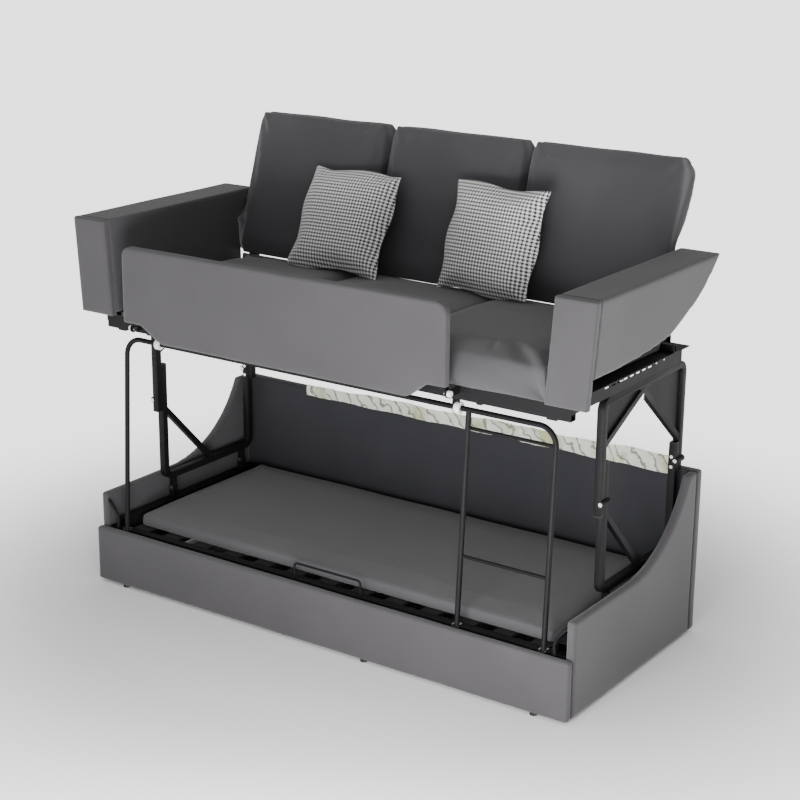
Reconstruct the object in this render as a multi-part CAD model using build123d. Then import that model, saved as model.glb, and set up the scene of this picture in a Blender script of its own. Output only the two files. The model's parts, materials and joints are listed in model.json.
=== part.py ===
from build123d import *
from math import acos, atan2, cos, degrees, hypot, radians, sin
import os

os.makedirs("parts", exist_ok=True)

# A sofa that unfolds into a bunk bed. The seat is the upper bunk: it stands on two end frames that
# fold like books between the mattress and the seat, and then the arms close on the low base.
# Lengths are millimetres. x runs to the right, y from the front board to the rear, z up.

# base: boards covered in fabric, on low glides
base_width = 2000
base_depth = 893
panel_t = 30
back_panel_t = 38
glide_h = 8
glide_d = 26
front_board_top = 216
side_front_top = 340
side_shoulder = 96
side_curve_r = 433
base_top = 600
board_round = 7
glide_x_shares = (-0.872, 0.209, 0.872)

# steel square tube and the clearances of the fold
tube = 25
tube_wall = 1.5
tube_corner_r = 45
layer_gap = 1
mattress_gap = 2.5
deck_gap = 1.5
pin_d = 8
pin_fit = 0.05
side_fit = 0.3
lug_r = 12
lug_t = 12
cheek_t = 5
pin_head_d = 14
pin_head_t = 3
overrun = 1

# lower bed: rails, slats and a mattress
rail_wall = 2
lower_rail_y = 45
lower_rail_w = 30
lower_rail_drop = 4
lower_rail_h = 62
ledge_w = 20
ledge_t = 3
slat_t = 12
slat_w = 70
slat_drop = 14
lower_slat_count = 13
end_rail_gap = 15
end_rail_w = 40
end_rail_rise = 2
end_rail_h = 40
mattress_end_gap = 30
mattress_front_gap = 27
mattress_rear_gap = 3
mattress_t = 52
mattress_crown = 4
mattress_round = 16
mattress_draw = 5
mattress_end_shares = ((-1, 1), (-0.975, 0.2), (-0.5, 0), (0.5, 0), (0.975, 0.2), (1, 1))
rear_rail_drop = 4
rear_rail_w = 30

# wire loop that stops the mattress, the bent bars in the front corners, and the clips for the ladder
loop_wire_d = 8
loop_left_share = -0.12
loop_right_share = 0.16
loop_h = 50
loop_bend_r = 14
corner_bar_d = 12
corner_bar_foot_inset = 1
corner_bar_waist_inset = 10
corner_bar_waist_rise = 45
corner_bar_head_drop = 26
corner_bar_foot_drop = 32
corner_bar_bend_r = 60
clip_t = 3
clip_lip = 5
clip_depth = 24

# inner lining of the back and the gathered strip of ticking along its top
lining_t = 9
strip_left_gap = 302
strip_right_gap = 68
strip_overlap = 26
strip_h = 67
strip_drop = 22
strip_t = 4
strip_fold = 7
strip_fold_by_leg = 1
strip_fold_count = 24
strip_fold_shares = (0.55, 0.45, 1.9)

# end frames
frame_inset = 23
link_height = 365
upper_front = 266
upper_rear_gap = 18
leg_gap = 1
lower_bar_rise = 54
upper_bar_drop = 28.5
upper_leg_below_knee = 42
lower_front_leg_above_knee = 131
lower_rear_leg_above_knee = 60
frame_lug_inset = 84
barrel_r = 11
brace_w = 20
brace_t = 20
apex_share = 0.469
apex_drop = 12
front_brace_end_drop = 158
rear_brace_end_drop = 270
gusset_t = 2
lower_brace_drop = 48
lower_brace_share = 0.515
bolt_d = 8
bolt_head_d = 12
bolt_head_t = 4
bolt_rise_high = 13
bolt_rise_low = -23
apex_bolt_spacing = 13
apex_bolt_len = 18
end_cap_t = 3
cap_plug = 12

# seat frame
seat_web_t = 3
seat_web_outset = 18
seat_web_bottom_drop = 13
seat_flange_w = 70
seat_rail_y = 50
seat_rail_w = 30
seat_rail_drop = 50
seat_web_rear_gap = 18
seat_rear_rail_inset = 55
seat_rear_rail_w = 38
seat_rear_rail_h = 28
seat_slat_count = 15
slot_count = 8
slot_len = 29
slot_h = 6
slot_pitch = 41
slot_start = 252
slot_below_top = 8
rail_tab_w = 34
rail_tab_h = 5
rail_tab_small_share = 0.705
rail_tab_small_w = 18

# backrest frame
back_lean = 0.31
back_post_inset = 77
back_post_d = 19
back_post_w = 38
back_post_rise = 330
back_bar_h = 25
back_post_end_share = 0.97

# seat cushion, back cushions and loose cushions
cushion_gap = 0.4
seat_end_gap = 4
seat_front = 34
seat_skirt_drop = 3
seat_rise = 106
seat_crown = 8
seat_round = 38
seat_draw = 9
seat_rear_gap = 1
hem_share = 0.25
seam_draw = 7
seam_half = 18
seam_left_share = -0.325
seam_right_share = 0.342
seam_crown_share = 0.25
side_crown_share = 0.5
back_height = 526
back_thin = 49.5
back_thick = 106
back_round = 20
back_crown = 12
back_side_gap = 2
back_end_gap = 4
back_low_shares = ((0, 0.62, 1.0, 0.2), (0.06, 0.93, 0.3, 0.6), (0.3, 1.0, 0, 1.0), (0.47, 1.0, 0, 1.0))
back_high_shares = ((0.6, 0.78, 0, 1.0), (0.78, 0.98, 0, 0.9), (0.92, 1.0, 0.1, 0.6), (1.0, 0.5, 0.9, 0.2))
pillow_w = 392
pillow_h = 384
pillow_t = 116
pillow_edge_t = 10
pillow_draw = 16
pillow_left_x_share = -0.398
pillow_left_back = 151
pillow_left_lean = 27
pillow_left_rise = -0.45
pillow_right_x_share = 0.306
pillow_right_back = 101
pillow_right_lean = 18
pillow_right_turn = -6
pillow_right_rise = 0.9
pillow_shares = ((-1.0, 0, 0), (-0.86, 0.42, 0.5), (-0.5, 0.86, 1.0), (0, 1.0, 1.0),
                 (0.5, 0.86, 1.0), (0.86, 0.42, 0.5), (1.0, 0, 0))

# arms: hollow shells over the ends, with a taller board across the front
arm_seat_gap = 2
arm_inner_lean = 25
arm_overhang = 25
arm_outer_lean = 23
arm_skirt_drop = 10
arm_rise = 330
arm_front = 1
arm_board_t = 27
arm_wall_t = 20
arm_flat_depth = 178
arm_flat_rise = 87
arm_curve_y_share = 0.692
arm_curve_rise = 116
arm_shoulder_inset = 86
arm_shoulder_rise = 235
arm_tip_inset = 29
arm_low_arc_share = 0.3
arm_high_arc_share = 0.42

# guard panel along the front, on two hinges
guard_left_gap = 85
guard_right_gap = 16
guard_front = -28
guard_t = 28
guard_drop = 54
guard_rise = 272
guard_notch_rise = 3
guard_corner_r = 40
guard_notch_left = 80
guard_notch_slope_left = 90
guard_notch_right = 75
guard_notch_slope_right = 70
guard_round = 7
guard_axis_y = -15
guard_axis_drop = 18
guard_pin_d = 10
guard_pin_head_share = 0.8
guard_plate_t = 4
guard_plate_r = 14
guard_plate_gap = 1
guard_plate_clear = 2
guard_left_plate_inset = 34
guard_cap_d = 21
guard_cap_t = 12
guard_cap_round = 3
guard_lug_foot = 26

# ladder: a wide hoop of round tube with a second rail and two rungs at its right end
ladder_d = 18
ladder_wall = 1.5
ladder_leg_inset = 47
ladder_axis_y = 80
ladder_axis_drop = 38
ladder_foot_y = 42
ladder_bend_r = 62
ladder_top_w = 319
ladder_foot_w = 325
rung_d = 12
rung_high_drop = 58
rung_low_rise = 237
foot_tip_len = 14
bushing_d = 40
bushing_t = 18
bushing_fit = 0.3
bushing_round = 3
bushing_right_inset = 37
bushing_left_inset = 154
ladder_plate_t = 4
ladder_plate_r = 20

# places that follow from the sizes above, across the width
half_width = base_width / 2
side_inner = half_width - panel_t
end_rail_outer = side_inner - end_rail_gap
end_rail_inner = end_rail_outer - end_rail_w
mattress_half_width = end_rail_inner - mattress_end_gap
frame_x = end_rail_outer - frame_inset
knee_x = frame_x + tube / 2 + layer_gap / 2
seat_web_outer = frame_x + seat_web_outset
seat_flange_inner = seat_web_outer - seat_flange_w
seat_half_width = seat_flange_inner - seat_end_gap
back_half_width = seat_half_width - back_end_gap
seam_left_x = seam_left_share * seat_half_width
seam_right_x = seam_right_share * seat_half_width
back_post_x_shares = (-back_post_end_share, seam_left_share, seam_right_share, back_post_end_share)
arm_inner_low = seat_half_width + arm_seat_gap
arm_inner_high = arm_inner_low + arm_inner_lean
arm_outer_low = half_width + arm_overhang
arm_outer_high = arm_outer_low + arm_outer_lean
ladder_leg_x = frame_x - ladder_leg_inset
ladder_rail_top_x = ladder_leg_x - ladder_top_w
ladder_rail_foot_x = ladder_leg_x - ladder_foot_w
bushing_right_x = ladder_rail_top_x - bushing_right_inset
bushing_left_x = bushing_left_inset - ladder_leg_x
guard_right = bushing_right_x + guard_right_gap
guard_left = guard_left_gap - ladder_leg_x
guard_right_plate_x = guard_right + guard_plate_gap
guard_left_plate_x = guard_left + guard_left_plate_inset
strip_left = strip_left_gap - side_inner
strip_right = side_inner - strip_right_gap

# from the front to the rear
lower_rail_rear = lower_rail_y + lower_rail_w
panel_rear = base_depth - back_panel_t
lining_front = panel_rear - lining_t
rear_rail_y = panel_rear - rear_rail_w
mattress_front = lower_rail_rear + mattress_front_gap
mattress_rear = rear_rail_y - mattress_rear_gap
upper_rear = panel_rear - upper_rear_gap
lower_front = upper_front + tube + leg_gap
lower_rear = upper_rear - tube - leg_gap
lug_places = (upper_front + frame_lug_inset, upper_rear - frame_lug_inset)
apex_y = upper_front + apex_share * (upper_rear - upper_front)
lower_brace_foot_y = upper_front + lower_brace_share * (upper_rear - upper_front)
seat_rear_rail_y = panel_rear - seat_rear_rail_inset
seat_web_rear = seat_rear_rail_y - seat_web_rear_gap
back_post_y = seat_rear_rail_y - back_post_inset
arm_tip_y = panel_rear - arm_tip_inset
arm_shoulder_y = arm_tip_y - arm_shoulder_inset
arm_curve_y = arm_curve_y_share * arm_shoulder_y
side_turn = acos(1 - (base_top - side_front_top) / side_curve_r)
side_flat_depth = base_depth - side_shoulder - side_curve_r * sin(side_turn)

# from the floor up
lower_rail_top = front_board_top - lower_rail_drop
lower_rail_bottom = lower_rail_top - lower_rail_h
rear_rail_top = lower_rail_top - rear_rail_drop
slat_seat = lower_rail_top - slat_drop
slat_top = slat_seat + slat_t
end_rail_bottom = slat_seat + end_rail_rise
end_rail_top = end_rail_bottom + end_rail_h
mattress_top = slat_top + mattress_t + mattress_crown
strip_bottom = base_top - strip_overlap
strip_top = strip_bottom + strip_h
base_pivot_z = mattress_top + mattress_gap + tube / 2
knee_z = base_pivot_z + link_height
seat_pivot_z = knee_z + link_height
lower_bar_z = base_pivot_z + lower_bar_rise
upper_bar_z = seat_pivot_z - upper_bar_drop
lower_brace_top_z = knee_z - lower_brace_drop
deck_bottom = seat_pivot_z + tube / 2 + deck_gap
deck_top = deck_bottom + slat_t
flange_top = deck_top + seat_web_t
seat_rail_bottom = deck_bottom - seat_rail_drop
seat_skirt_bottom = deck_bottom - seat_skirt_drop
seat_top = flange_top + seat_rise
back_bottom = seat_top + seat_crown
back_post_foot_z = flange_top + back_bar_h
back_post_top = flange_top + back_post_rise
arm_low_z = flange_top - arm_skirt_drop
arm_top = flange_top + arm_rise
arm_flat_z = flange_top + arm_flat_rise
arm_curve_z = flange_top + arm_curve_rise
arm_shoulder_z = flange_top + arm_shoulder_rise
guard_notch_z = deck_bottom + guard_notch_rise
guard_axis_z = guard_notch_z - guard_axis_drop
guard_bottom = guard_notch_z - guard_drop
guard_top = guard_notch_z + guard_rise
ladder_axis_z = seat_rail_bottom - ladder_axis_drop
ladder_foot_z = front_board_top
rung_high_z = ladder_axis_z - rung_high_drop
rung_low_z = ladder_foot_z + rung_low_rise

# where the folding legs pass the strip, and how the back cushions lean on their frame
knee_drop_share = (strip_bottom - barrel_r - base_pivot_z) / link_height
leg_sweep_x = frame_x - tube - link_height * sin(acos(knee_drop_share))
back_tilt = degrees(atan2(back_lean, 1))
back_front_y = (back_post_y + back_lean * (back_bottom - back_post_foot_z)
                - (back_thin + cushion_gap) / cos(radians(back_tilt)))


def block(xs, ys, zs):
    """A box between two places on each axis."""
    spans = (xs, ys, zs)
    size = [high - low for low, high in spans]
    middle = [(high + low) / 2 for low, high in spans]
    return Pos(*middle) * Box(*size)


def rod_x(x0, x1, y, z, radius):
    """A round bar along x."""
    return Pos((x0 + x1) / 2, y, z) * Rot(0, 90, 0) * Cylinder(radius, x1 - x0)


def rod_y(y0, y1, x, z, radius):
    """A round bar along y."""
    return Pos(x, (y0 + y1) / 2, z) * Rot(90, 0, 0) * Cylinder(radius, y1 - y0)


def rod_z(z0, z1, x, y, radius):
    """A round bar along z."""
    return Pos(x, y, (z0 + z1) / 2) * Cylinder(radius, z1 - z0)


def plate_yz(face, x0, x1):
    """A flat outline drawn in y and z, made solid between two places on x."""
    return Pos(x0, 0, 0) * extrude(Plane.YZ * face, x1 - x0)


def plate_xz(face, y0, y1):
    """A flat outline drawn in x and z, made solid between two places on y."""
    return Pos(0, y1, 0) * extrude(Plane.XZ * face, y1 - y0)


def mirrored(part):
    """The same piece for the left end."""
    return mirror(part, about=Plane.YZ)


def joined(parts):
    """Pieces welded to one, or kept as separate solids of one node."""
    whole = parts[0]
    for piece in parts[1:]:
        whole = whole + piece
    return whole


def hollow_bar_x(x0, x1, ys, zs, wall):
    """A rectangular tube along x, open at its ends."""
    outside = block((x0, x1), ys, zs)
    inner_y = (ys[0] + wall, ys[1] - wall)
    inner_z = (zs[0] + wall, zs[1] - wall)
    return outside - block((x0 - overrun, x1 + overrun), inner_y, inner_z)


def hollow_bar_y(xs, y0, y1, zs, wall):
    """A rectangular tube along y, open at its ends."""
    outside = block(xs, (y0, y1), zs)
    inner_x = (xs[0] + wall, xs[1] - wall)
    inner_z = (zs[0] + wall, zs[1] - wall)
    return outside - block(inner_x, (y0 - overrun, y1 + overrun), inner_z)


def u_face(y0, y1, z_open, z_closed, inset):
    """The filled outline of a U in y and z, round at its closed corners."""
    low, high = y0 + inset, y1 - inset
    closed = z_closed - inset if z_closed > z_open else z_closed + inset
    face = make_face(Polyline((low, z_open), (low, closed), (high, closed), (high, z_open), close=True))
    corners = [v for v in face.vertices() if abs(v.Y - closed) < overrun]
    return fillet(corners, tube_corner_r - inset)


def u_bar(y0, y1, z_open, z_closed):
    """A solid square bar bent to a U in the end frame's plane."""
    away = -tube if z_closed > z_open else tube
    outline = u_face(y0, y1, z_open, z_closed, 0) - u_face(y0, y1, z_open + away, z_closed, tube)
    return plate_yz(outline, frame_x - tube / 2, frame_x + tube / 2)


def u_tube(y0, y1, z_open, z_closed):
    """A square tube bent to a U in the end frame's plane, with open ends."""
    away = -tube if z_closed > z_open else tube
    bar = u_bar(y0, y1, z_open, z_closed)
    skin = u_face(y0, y1, z_open + away, z_closed, tube_wall)
    core = u_face(y0, y1, z_open + away * 2, z_closed, tube - tube_wall)
    half = tube / 2 - tube_wall
    return bar - plate_yz(skin - core, frame_x - half, frame_x + half)


def brace(a, b):
    """A straight flat tube in the end frame's plane, between two points of y and z."""
    run = hypot(b[0] - a[0], b[1] - a[1])
    turn = degrees(atan2(b[1] - a[1], b[0] - a[0]))
    outline = Pos((a[0] + b[0]) / 2, (a[1] + b[1]) / 2) * Rot(0, 0, turn) * Rectangle(run, brace_w)
    return plate_yz(outline, frame_x - brace_t / 2, frame_x + brace_t / 2)


def hinge_lug(y, pivot_z, bar_face_z):
    """A lug between a frame's bar and its pivot, bored for the pin."""
    neck = block((frame_x - lug_r, frame_x + lug_r), (y - lug_t / 2, y + lug_t / 2),
                 (min(pivot_z, bar_face_z), max(pivot_z, bar_face_z)))
    return neck + rod_y(y - lug_t / 2, y + lug_t / 2, frame_x, pivot_z, lug_r)


def hinge_cheeks(y, pivot_z, root_z):
    """The two cheeks that hold a lug, bored for the pin."""
    cheeks = []
    for side in (-1, 1):
        near = y + side * (lug_t / 2 + side_fit)
        far = near + side * cheek_t
        span = (min(near, far), max(near, far))
        neck = block((frame_x - lug_r, frame_x + lug_r), span, (min(pivot_z, root_z), max(pivot_z, root_z)))
        cheeks.append(neck + rod_y(span[0], span[1], frame_x, pivot_z, lug_r))
    return joined(cheeks)


def pin_bore(pivot_z, y0, y1, x):
    """The clear hole for a hinge pin."""
    return rod_y(y0, y1, x, pivot_z, pin_d / 2 + pin_fit)


def hinge_pin(y, pivot_z):
    """A clevis pin through both cheeks, with a head at each end."""
    reach = lug_t / 2 + side_fit + cheek_t
    shaft = rod_y(y - reach, y + reach, frame_x, pivot_z, pin_d / 2)
    front = rod_y(y - reach - pin_head_t, y - reach, frame_x, pivot_z, pin_head_d / 2)
    rear = rod_y(y + reach, y + reach + pin_head_t, frame_x, pivot_z, pin_head_d / 2)
    return shaft + front + rear


def base_front_board():
    """The low board across the front."""
    board = block((-half_width, half_width), (0, panel_t), (glide_h, front_board_top))
    return fillet(board.edges().filter_by(Axis.X).group_by(Axis.Z)[-1], board_round)


def base_side_panel():
    """The right end board: low at the front, then an arc up to the back."""
    arc_mid = (side_flat_depth + side_curve_r * sin(side_turn / 2),
               side_front_top + side_curve_r * (1 - cos(side_turn / 2)))
    low, high = (side_flat_depth, side_front_top), (base_depth - side_shoulder, base_top)
    edges = [Line((panel_t, glide_h), (panel_t, side_front_top)),
             Line((panel_t, side_front_top), low),
             ThreePointArc(low, arc_mid, high),
             Line(high, (panel_rear, base_top)),
             Line((panel_rear, base_top), (panel_rear, glide_h)),
             Line((panel_rear, glide_h), (panel_t, glide_h))]
    board = plate_yz(make_face(edges), side_inner, half_width)
    rim = [e for e in board.edges() if e.center().Z > side_front_top - overrun
           and abs(abs(e.center().X) - half_width) < overrun]
    return fillet(rim, board_round)


def base_back_panel():
    """The board behind the lower bed, across the ends of the side boards."""
    board = block((-half_width, half_width), (panel_rear, base_depth), (glide_h, base_top))
    return fillet(board.edges().filter_by(Axis.X).group_by(Axis.Z)[-1], board_round)


def floor_glides():
    """Low black glides under the boards."""
    glides = []
    for y in (panel_t / 2, base_depth - back_panel_t / 2):
        for share in glide_x_shares:
            glides.append(rod_z(0, glide_h, share * half_width, y, glide_d / 2))
    return joined(glides)


def lower_front_rail():
    """The front rail of the lower bed, with the ledge that carries the slats."""
    rail = hollow_bar_x(-side_inner, side_inner, (lower_rail_y, lower_rail_rear),
                        (lower_rail_bottom, lower_rail_top), rail_wall)
    ledge = block((-end_rail_inner, end_rail_inner), (lower_rail_rear, lower_rail_rear + ledge_w),
                  (slat_seat - ledge_t, slat_seat))
    return rail + ledge


def lower_rear_rail():
    """The rear rail of the lower bed, against the back board."""
    rail = hollow_bar_x(-side_inner, side_inner, (rear_rail_y, panel_rear),
                        (lower_rail_bottom, rear_rail_top), rail_wall)
    ledge = block((-end_rail_inner, end_rail_inner), (rear_rail_y - ledge_w, rear_rail_y),
                  (slat_seat - ledge_t, slat_seat))
    return rail + ledge


def lower_end_rail():
    """The right end rail of the lower bed, with the cheeks that the folding frame hinges on."""
    rail = hollow_bar_y((end_rail_inner, end_rail_outer), lower_rail_rear, rear_rail_y,
                        (end_rail_bottom, end_rail_top), rail_wall)
    for y in lug_places:
        rail = rail + hinge_cheeks(y, base_pivot_z, end_rail_top)
    return rail - pin_bore(base_pivot_z, lower_rail_rear, rear_rail_y, frame_x)


def slat_row(count, half_span, y0, y1, z0):
    """Slats across the bed, evenly spaced."""
    slats = []
    for i in range(count):
        x = -half_span + 2 * half_span * i / (count - 1)
        slats.append(block((x - slat_w / 2, x + slat_w / 2), (y0, y1), (z0, z0 + slat_t)))
    return joined(slats)


def lower_slats():
    """The slats under the mattress, between the front and rear rails."""
    return slat_row(lower_slat_count, mattress_half_width - slat_w / 2,
                    lower_rail_rear + side_fit, rear_rail_y - side_fit, slat_seat)


def soft_section(x, y0, y1, z0, z1, crown, r):
    """One outline of a pad across x: flat below, round corners, an arched top."""
    top = z1 - r
    k = r * (1 - sin(radians(45)))
    edges = [Line((y0, z0), (y0, top)),
             ThreePointArc((y0, top), (y0 + k, z1 - k), (y0 + r, z1)),
             ThreePointArc((y0 + r, z1), ((y0 + y1) / 2, z1 + crown), (y1 - r, z1)),
             ThreePointArc((y1 - r, z1), (y1 - k, z1 - k), (y1, top)),
             Line((y1, top), (y1, z0)),
             Line((y1, z0), (y0, z0))]
    return Plane(origin=(x, 0, 0), x_dir=(0, 1, 0), z_dir=(1, 0, 0)) * make_face(edges)


def lower_mattress():
    """The mattress of the lower bed: a thin pad with a soft front edge and a low crown."""
    faces = []
    for share, draw_share in mattress_end_shares:
        draw = mattress_draw * draw_share
        faces.append(soft_section(share * mattress_half_width, mattress_front + draw, mattress_rear - draw,
                                  slat_top + cushion_gap, slat_top + mattress_t - draw,
                                  mattress_crown * (1 - draw_share / 2), mattress_round))
    return loft(faces, ruled=True)


def mattress_stop_loop():
    """A wire loop that stands on the front rail and keeps the mattress in."""
    y = lower_rail_y + lower_rail_w / 2
    low, high = lower_rail_top, lower_rail_top + loop_h
    left, right = loop_left_share * half_width, loop_right_share * half_width
    points = [(left, y, low), (left, y, high), (right, y, high), (right, y, low)]
    path = FilletPolyline(*points, radius=loop_bend_r)
    return sweep(Plane(origin=points[0], z_dir=(0, 0, 1)) * Circle(loop_wire_d / 2), path=path)


def corner_bar():
    """The bent bar between the front rail and the right end board."""
    y = lower_rail_y - corner_bar_d / 2
    head_z = side_front_top - corner_bar_head_drop
    points = [(frame_x - corner_bar_foot_inset, y, lower_rail_top - corner_bar_foot_drop),
              (frame_x - corner_bar_waist_inset, y, lower_rail_top + corner_bar_waist_rise),
              (side_inner, y, head_z)]
    path = FilletPolyline(*points, radius=corner_bar_bend_r)
    start = Vector(*points[1]) - Vector(*points[0])
    bar = sweep(Plane(origin=points[0], z_dir=start) * Circle(corner_bar_d / 2), path=path)
    reach = 2 * corner_bar_d
    trim = block((side_inner, side_inner + reach), (y - reach, y + reach),
                 (head_z - reach, head_z + reach))
    return bar - trim


def corner_bars():
    """Both corner bars."""
    return corner_bar() + mirrored(corner_bar())


def ladder_foot_clips():
    """Small open clips on the front rail, one under each foot of the ladder."""
    clips = []
    inner = ladder_d / 2 + 2 * bushing_fit
    outer = inner + clip_t
    rear = ladder_foot_y + ladder_d / 2 + overrun
    for x in (-ladder_leg_x, ladder_rail_foot_x, ladder_leg_x):
        span_y = (rear + clip_t - clip_depth, rear + clip_t)
        pad = block((x - outer, x + outer), span_y, (lower_rail_top, lower_rail_top + clip_t))
        lip_z = (lower_rail_top + clip_t, lower_rail_top + clip_t + clip_lip)
        pad = pad + block((x - outer, x - inner), span_y, lip_z)
        pad = pad + block((x + inner, x + outer), span_y, lip_z)
        pad = pad + block((x - outer, x + outer), (rear, rear + clip_t), lip_z)
        clips.append(pad)
    return joined(clips)


def base_hinge_pins():
    """The pins of the lower frames' hinges."""
    right = joined([hinge_pin(y, base_pivot_z) for y in lug_places])
    return right + mirrored(right)


def back_lining():
    """The covered board that lines the back of the lower bed."""
    board = block((-side_inner, side_inner), (lining_front, panel_rear), (rear_rail_top, base_top))
    return board


def lining_strip():
    """The gathered strip of ticking along the top of the lining, with its main folds."""
    step = (strip_right - strip_left) / strip_fold_count
    even_share, wave_share, turn_share = strip_fold_shares
    rear = lining_front
    front = rear - strip_t
    edges = [Line((strip_right, front), (strip_right, rear)), Line((strip_right, rear), (strip_left, rear)),
             Line((strip_left, rear), (strip_left, front))]
    for i in range(strip_fold_count):
        x0 = strip_left + i * step
        full = strip_fold if x0 + step < leg_sweep_x else strip_fold_by_leg
        depth = full * (even_share + wave_share * cos(turn_share * i))
        edges.append(ThreePointArc((x0, front), (x0 + step / 2, front - depth), (x0 + step, front)))
    plan = make_face(edges)
    cloth = Pos(0, 0, strip_bottom) * extrude(plan, strip_top - strip_bottom)
    sag = ThreePointArc((strip_left - overrun, strip_top - strip_drop), (0, strip_top - strip_drop / 2),
                        (strip_right + overrun, strip_top - overrun))
    above = strip_top + strip_drop
    lid = make_face([sag, Line((strip_right + overrun, strip_top - overrun), (strip_right + overrun, above)),
                     Line((strip_right + overrun, above), (strip_left - overrun, above)),
                     Line((strip_left - overrun, above), (strip_left - overrun, strip_top - strip_drop))])
    reach = strip_t + strip_fold + overrun
    return cloth - plate_xz(lid, rear - reach, rear + overrun)


def lower_frame():
    """The right lower half of the folding end: a U of square tube with a diagonal and hinge lugs."""
    top_front = knee_z + lower_front_leg_above_knee
    top_rear = knee_z + lower_rear_leg_above_knee
    bar_low = lower_bar_z - tube / 2
    frame = u_tube(lower_front, lower_rear, top_front, bar_low)
    rear_leg = (lower_rear - tube - overrun, lower_rear + overrun)
    frame = frame - block((frame_x - tube, frame_x + tube), rear_leg, (top_rear, top_front + overrun))
    a = (lower_front + tube, lower_brace_top_z)
    b = (lower_brace_foot_y, bar_low + tube)
    frame = frame + trimmed_brace(a, b, lower_front + tube, lower_rear - tube, bar_low + tube, top_front)
    for y in lug_places:
        frame = frame + hinge_lug(y, base_pivot_z, bar_low)
    for y0 in (lower_front, lower_rear - tube):
        frame = frame + rod_y(y0, y0 + tube, knee_x, knee_z, barrel_r)
        frame = frame - pin_bore(knee_z, y0 - overrun, y0 + tube + overrun, knee_x)
    return frame - pin_bore(base_pivot_z, lower_front, lower_rear, frame_x)


def trimmed_brace(a, b, y_low, y_high, z_low, z_high):
    """A brace run on past both ends and trimmed to the opening of its frame."""
    run = hypot(b[0] - a[0], b[1] - a[1])
    more = brace_w * 2 / run
    a_out = (a[0] + (a[0] - b[0]) * more, a[1] + (a[1] - b[1]) * more)
    b_out = (b[0] + (b[0] - a[0]) * more, b[1] + (b[1] - a[1]) * more)
    opening = block((frame_x - tube / 2, frame_x + tube / 2), (y_low, y_high), (z_low, z_high))
    return brace(a_out, b_out) & opening


def upper_frame():
    """The right upper half of the folding end: an upturned U with two braces to an apex block."""
    bar_top = upper_bar_z + tube / 2
    leg_end = knee_z - upper_leg_below_knee
    frame = u_tube(upper_front, upper_rear, leg_end, bar_top)
    frame = frame + upper_braces()
    for y in lug_places:
        frame = frame + hinge_lug(y, seat_pivot_z, bar_top)
    for y0 in (upper_front, upper_rear - tube):
        frame = frame + rod_y(y0, y0 + tube, knee_x, knee_z, barrel_r)
        frame = frame - pin_bore(knee_z, y0 - overrun, y0 + tube + overrun, knee_x)
    return frame - pin_bore(seat_pivot_z, upper_front, upper_rear, frame_x)


def upper_braces():
    """The two braces that meet under the middle of the right upper frame's top bar."""
    bar_face = upper_bar_z - tube / 2
    bar_top = upper_bar_z + tube / 2
    leg_end = knee_z - upper_leg_below_knee
    inner = (upper_front + tube, upper_rear - tube)
    ends = ((inner[0], bar_top - front_brace_end_drop), (inner[1], bar_top - rear_brace_end_drop))
    apex = (apex_y, bar_face - apex_drop)
    return joined([trimmed_brace(apex, end, inner[0], inner[1], leg_end, bar_face) for end in ends])


def gussets():
    """The thin plates between the braces, the legs and the top bar of the right upper frame."""
    bar_face = upper_bar_z - tube / 2
    bar_top = upper_bar_z + tube / 2
    leg_end = knee_z - upper_leg_below_knee
    plates = []
    sides = ((upper_front + tube, front_brace_end_drop), (upper_rear - tube, rear_brace_end_drop))
    for side_y, drop in sides:
        outline = make_face(Polyline((apex_y, bar_face - apex_drop), (apex_y, bar_face), (side_y, bar_face),
                                     (side_y, bar_top - drop), close=True))
        plates.append(plate_yz(outline, frame_x - gusset_t / 2, frame_x + gusset_t / 2))
    bars = upper_braces() + u_bar(upper_front, upper_rear, leg_end, bar_top)
    return joined(plates) - bars


def frame_end_caps(y_pairs, plug_up):
    """Plastic plugs in the open ends of a frame's legs."""
    caps = []
    inner = tube / 2 - tube_wall
    for y0, z in y_pairs:
        y = y0 + tube / 2
        sign = 1 if plug_up else -1
        lid_z = (z, z + sign * end_cap_t)
        plug_z = (z, z - sign * cap_plug)
        lid = block((frame_x - tube / 2, frame_x + tube / 2), (y0, y0 + tube), (min(lid_z), max(lid_z)))
        stem = block((frame_x - inner, frame_x + inner), (y - inner, y + inner), (min(plug_z), max(plug_z)))
        caps.append(lid + stem)
    return joined(caps)


def lower_frame_caps():
    """The plugs at the tops of the right lower frame's legs."""
    return frame_end_caps(((lower_front, knee_z + lower_front_leg_above_knee),
                           (lower_rear - tube, knee_z + lower_rear_leg_above_knee)), True)


def upper_frame_caps():
    """The plugs at the feet of the right upper frame's legs."""
    leg_end = knee_z - upper_leg_below_knee
    return frame_end_caps(((upper_front, leg_end), (upper_rear - tube, leg_end)), False)


def knee_pins():
    """The pins of the right knee and the two bright bolts beside each."""
    pieces = []
    for low, high in ((upper_front, lower_front + tube), (lower_rear - tube, upper_rear)):
        shaft = rod_y(low - side_fit, high + side_fit, knee_x, knee_z, pin_d / 2)
        front = rod_y(low - side_fit - pin_head_t, low - side_fit, knee_x, knee_z, pin_head_d / 2)
        rear = rod_y(high + side_fit, high + side_fit + pin_head_t, knee_x, knee_z, pin_head_d / 2)
        pieces.append(shaft + front + rear)
    for rise in (bolt_rise_high, bolt_rise_low):
        face = lower_front + tube
        pieces.append(rod_y(face, face + bolt_head_t, frame_x, knee_z + rise, bolt_head_d / 2))
        face = lower_rear - tube
        pieces.append(rod_y(face - bolt_head_t, face, frame_x, knee_z + rise, bolt_head_d / 2))
    return joined(pieces)


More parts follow.
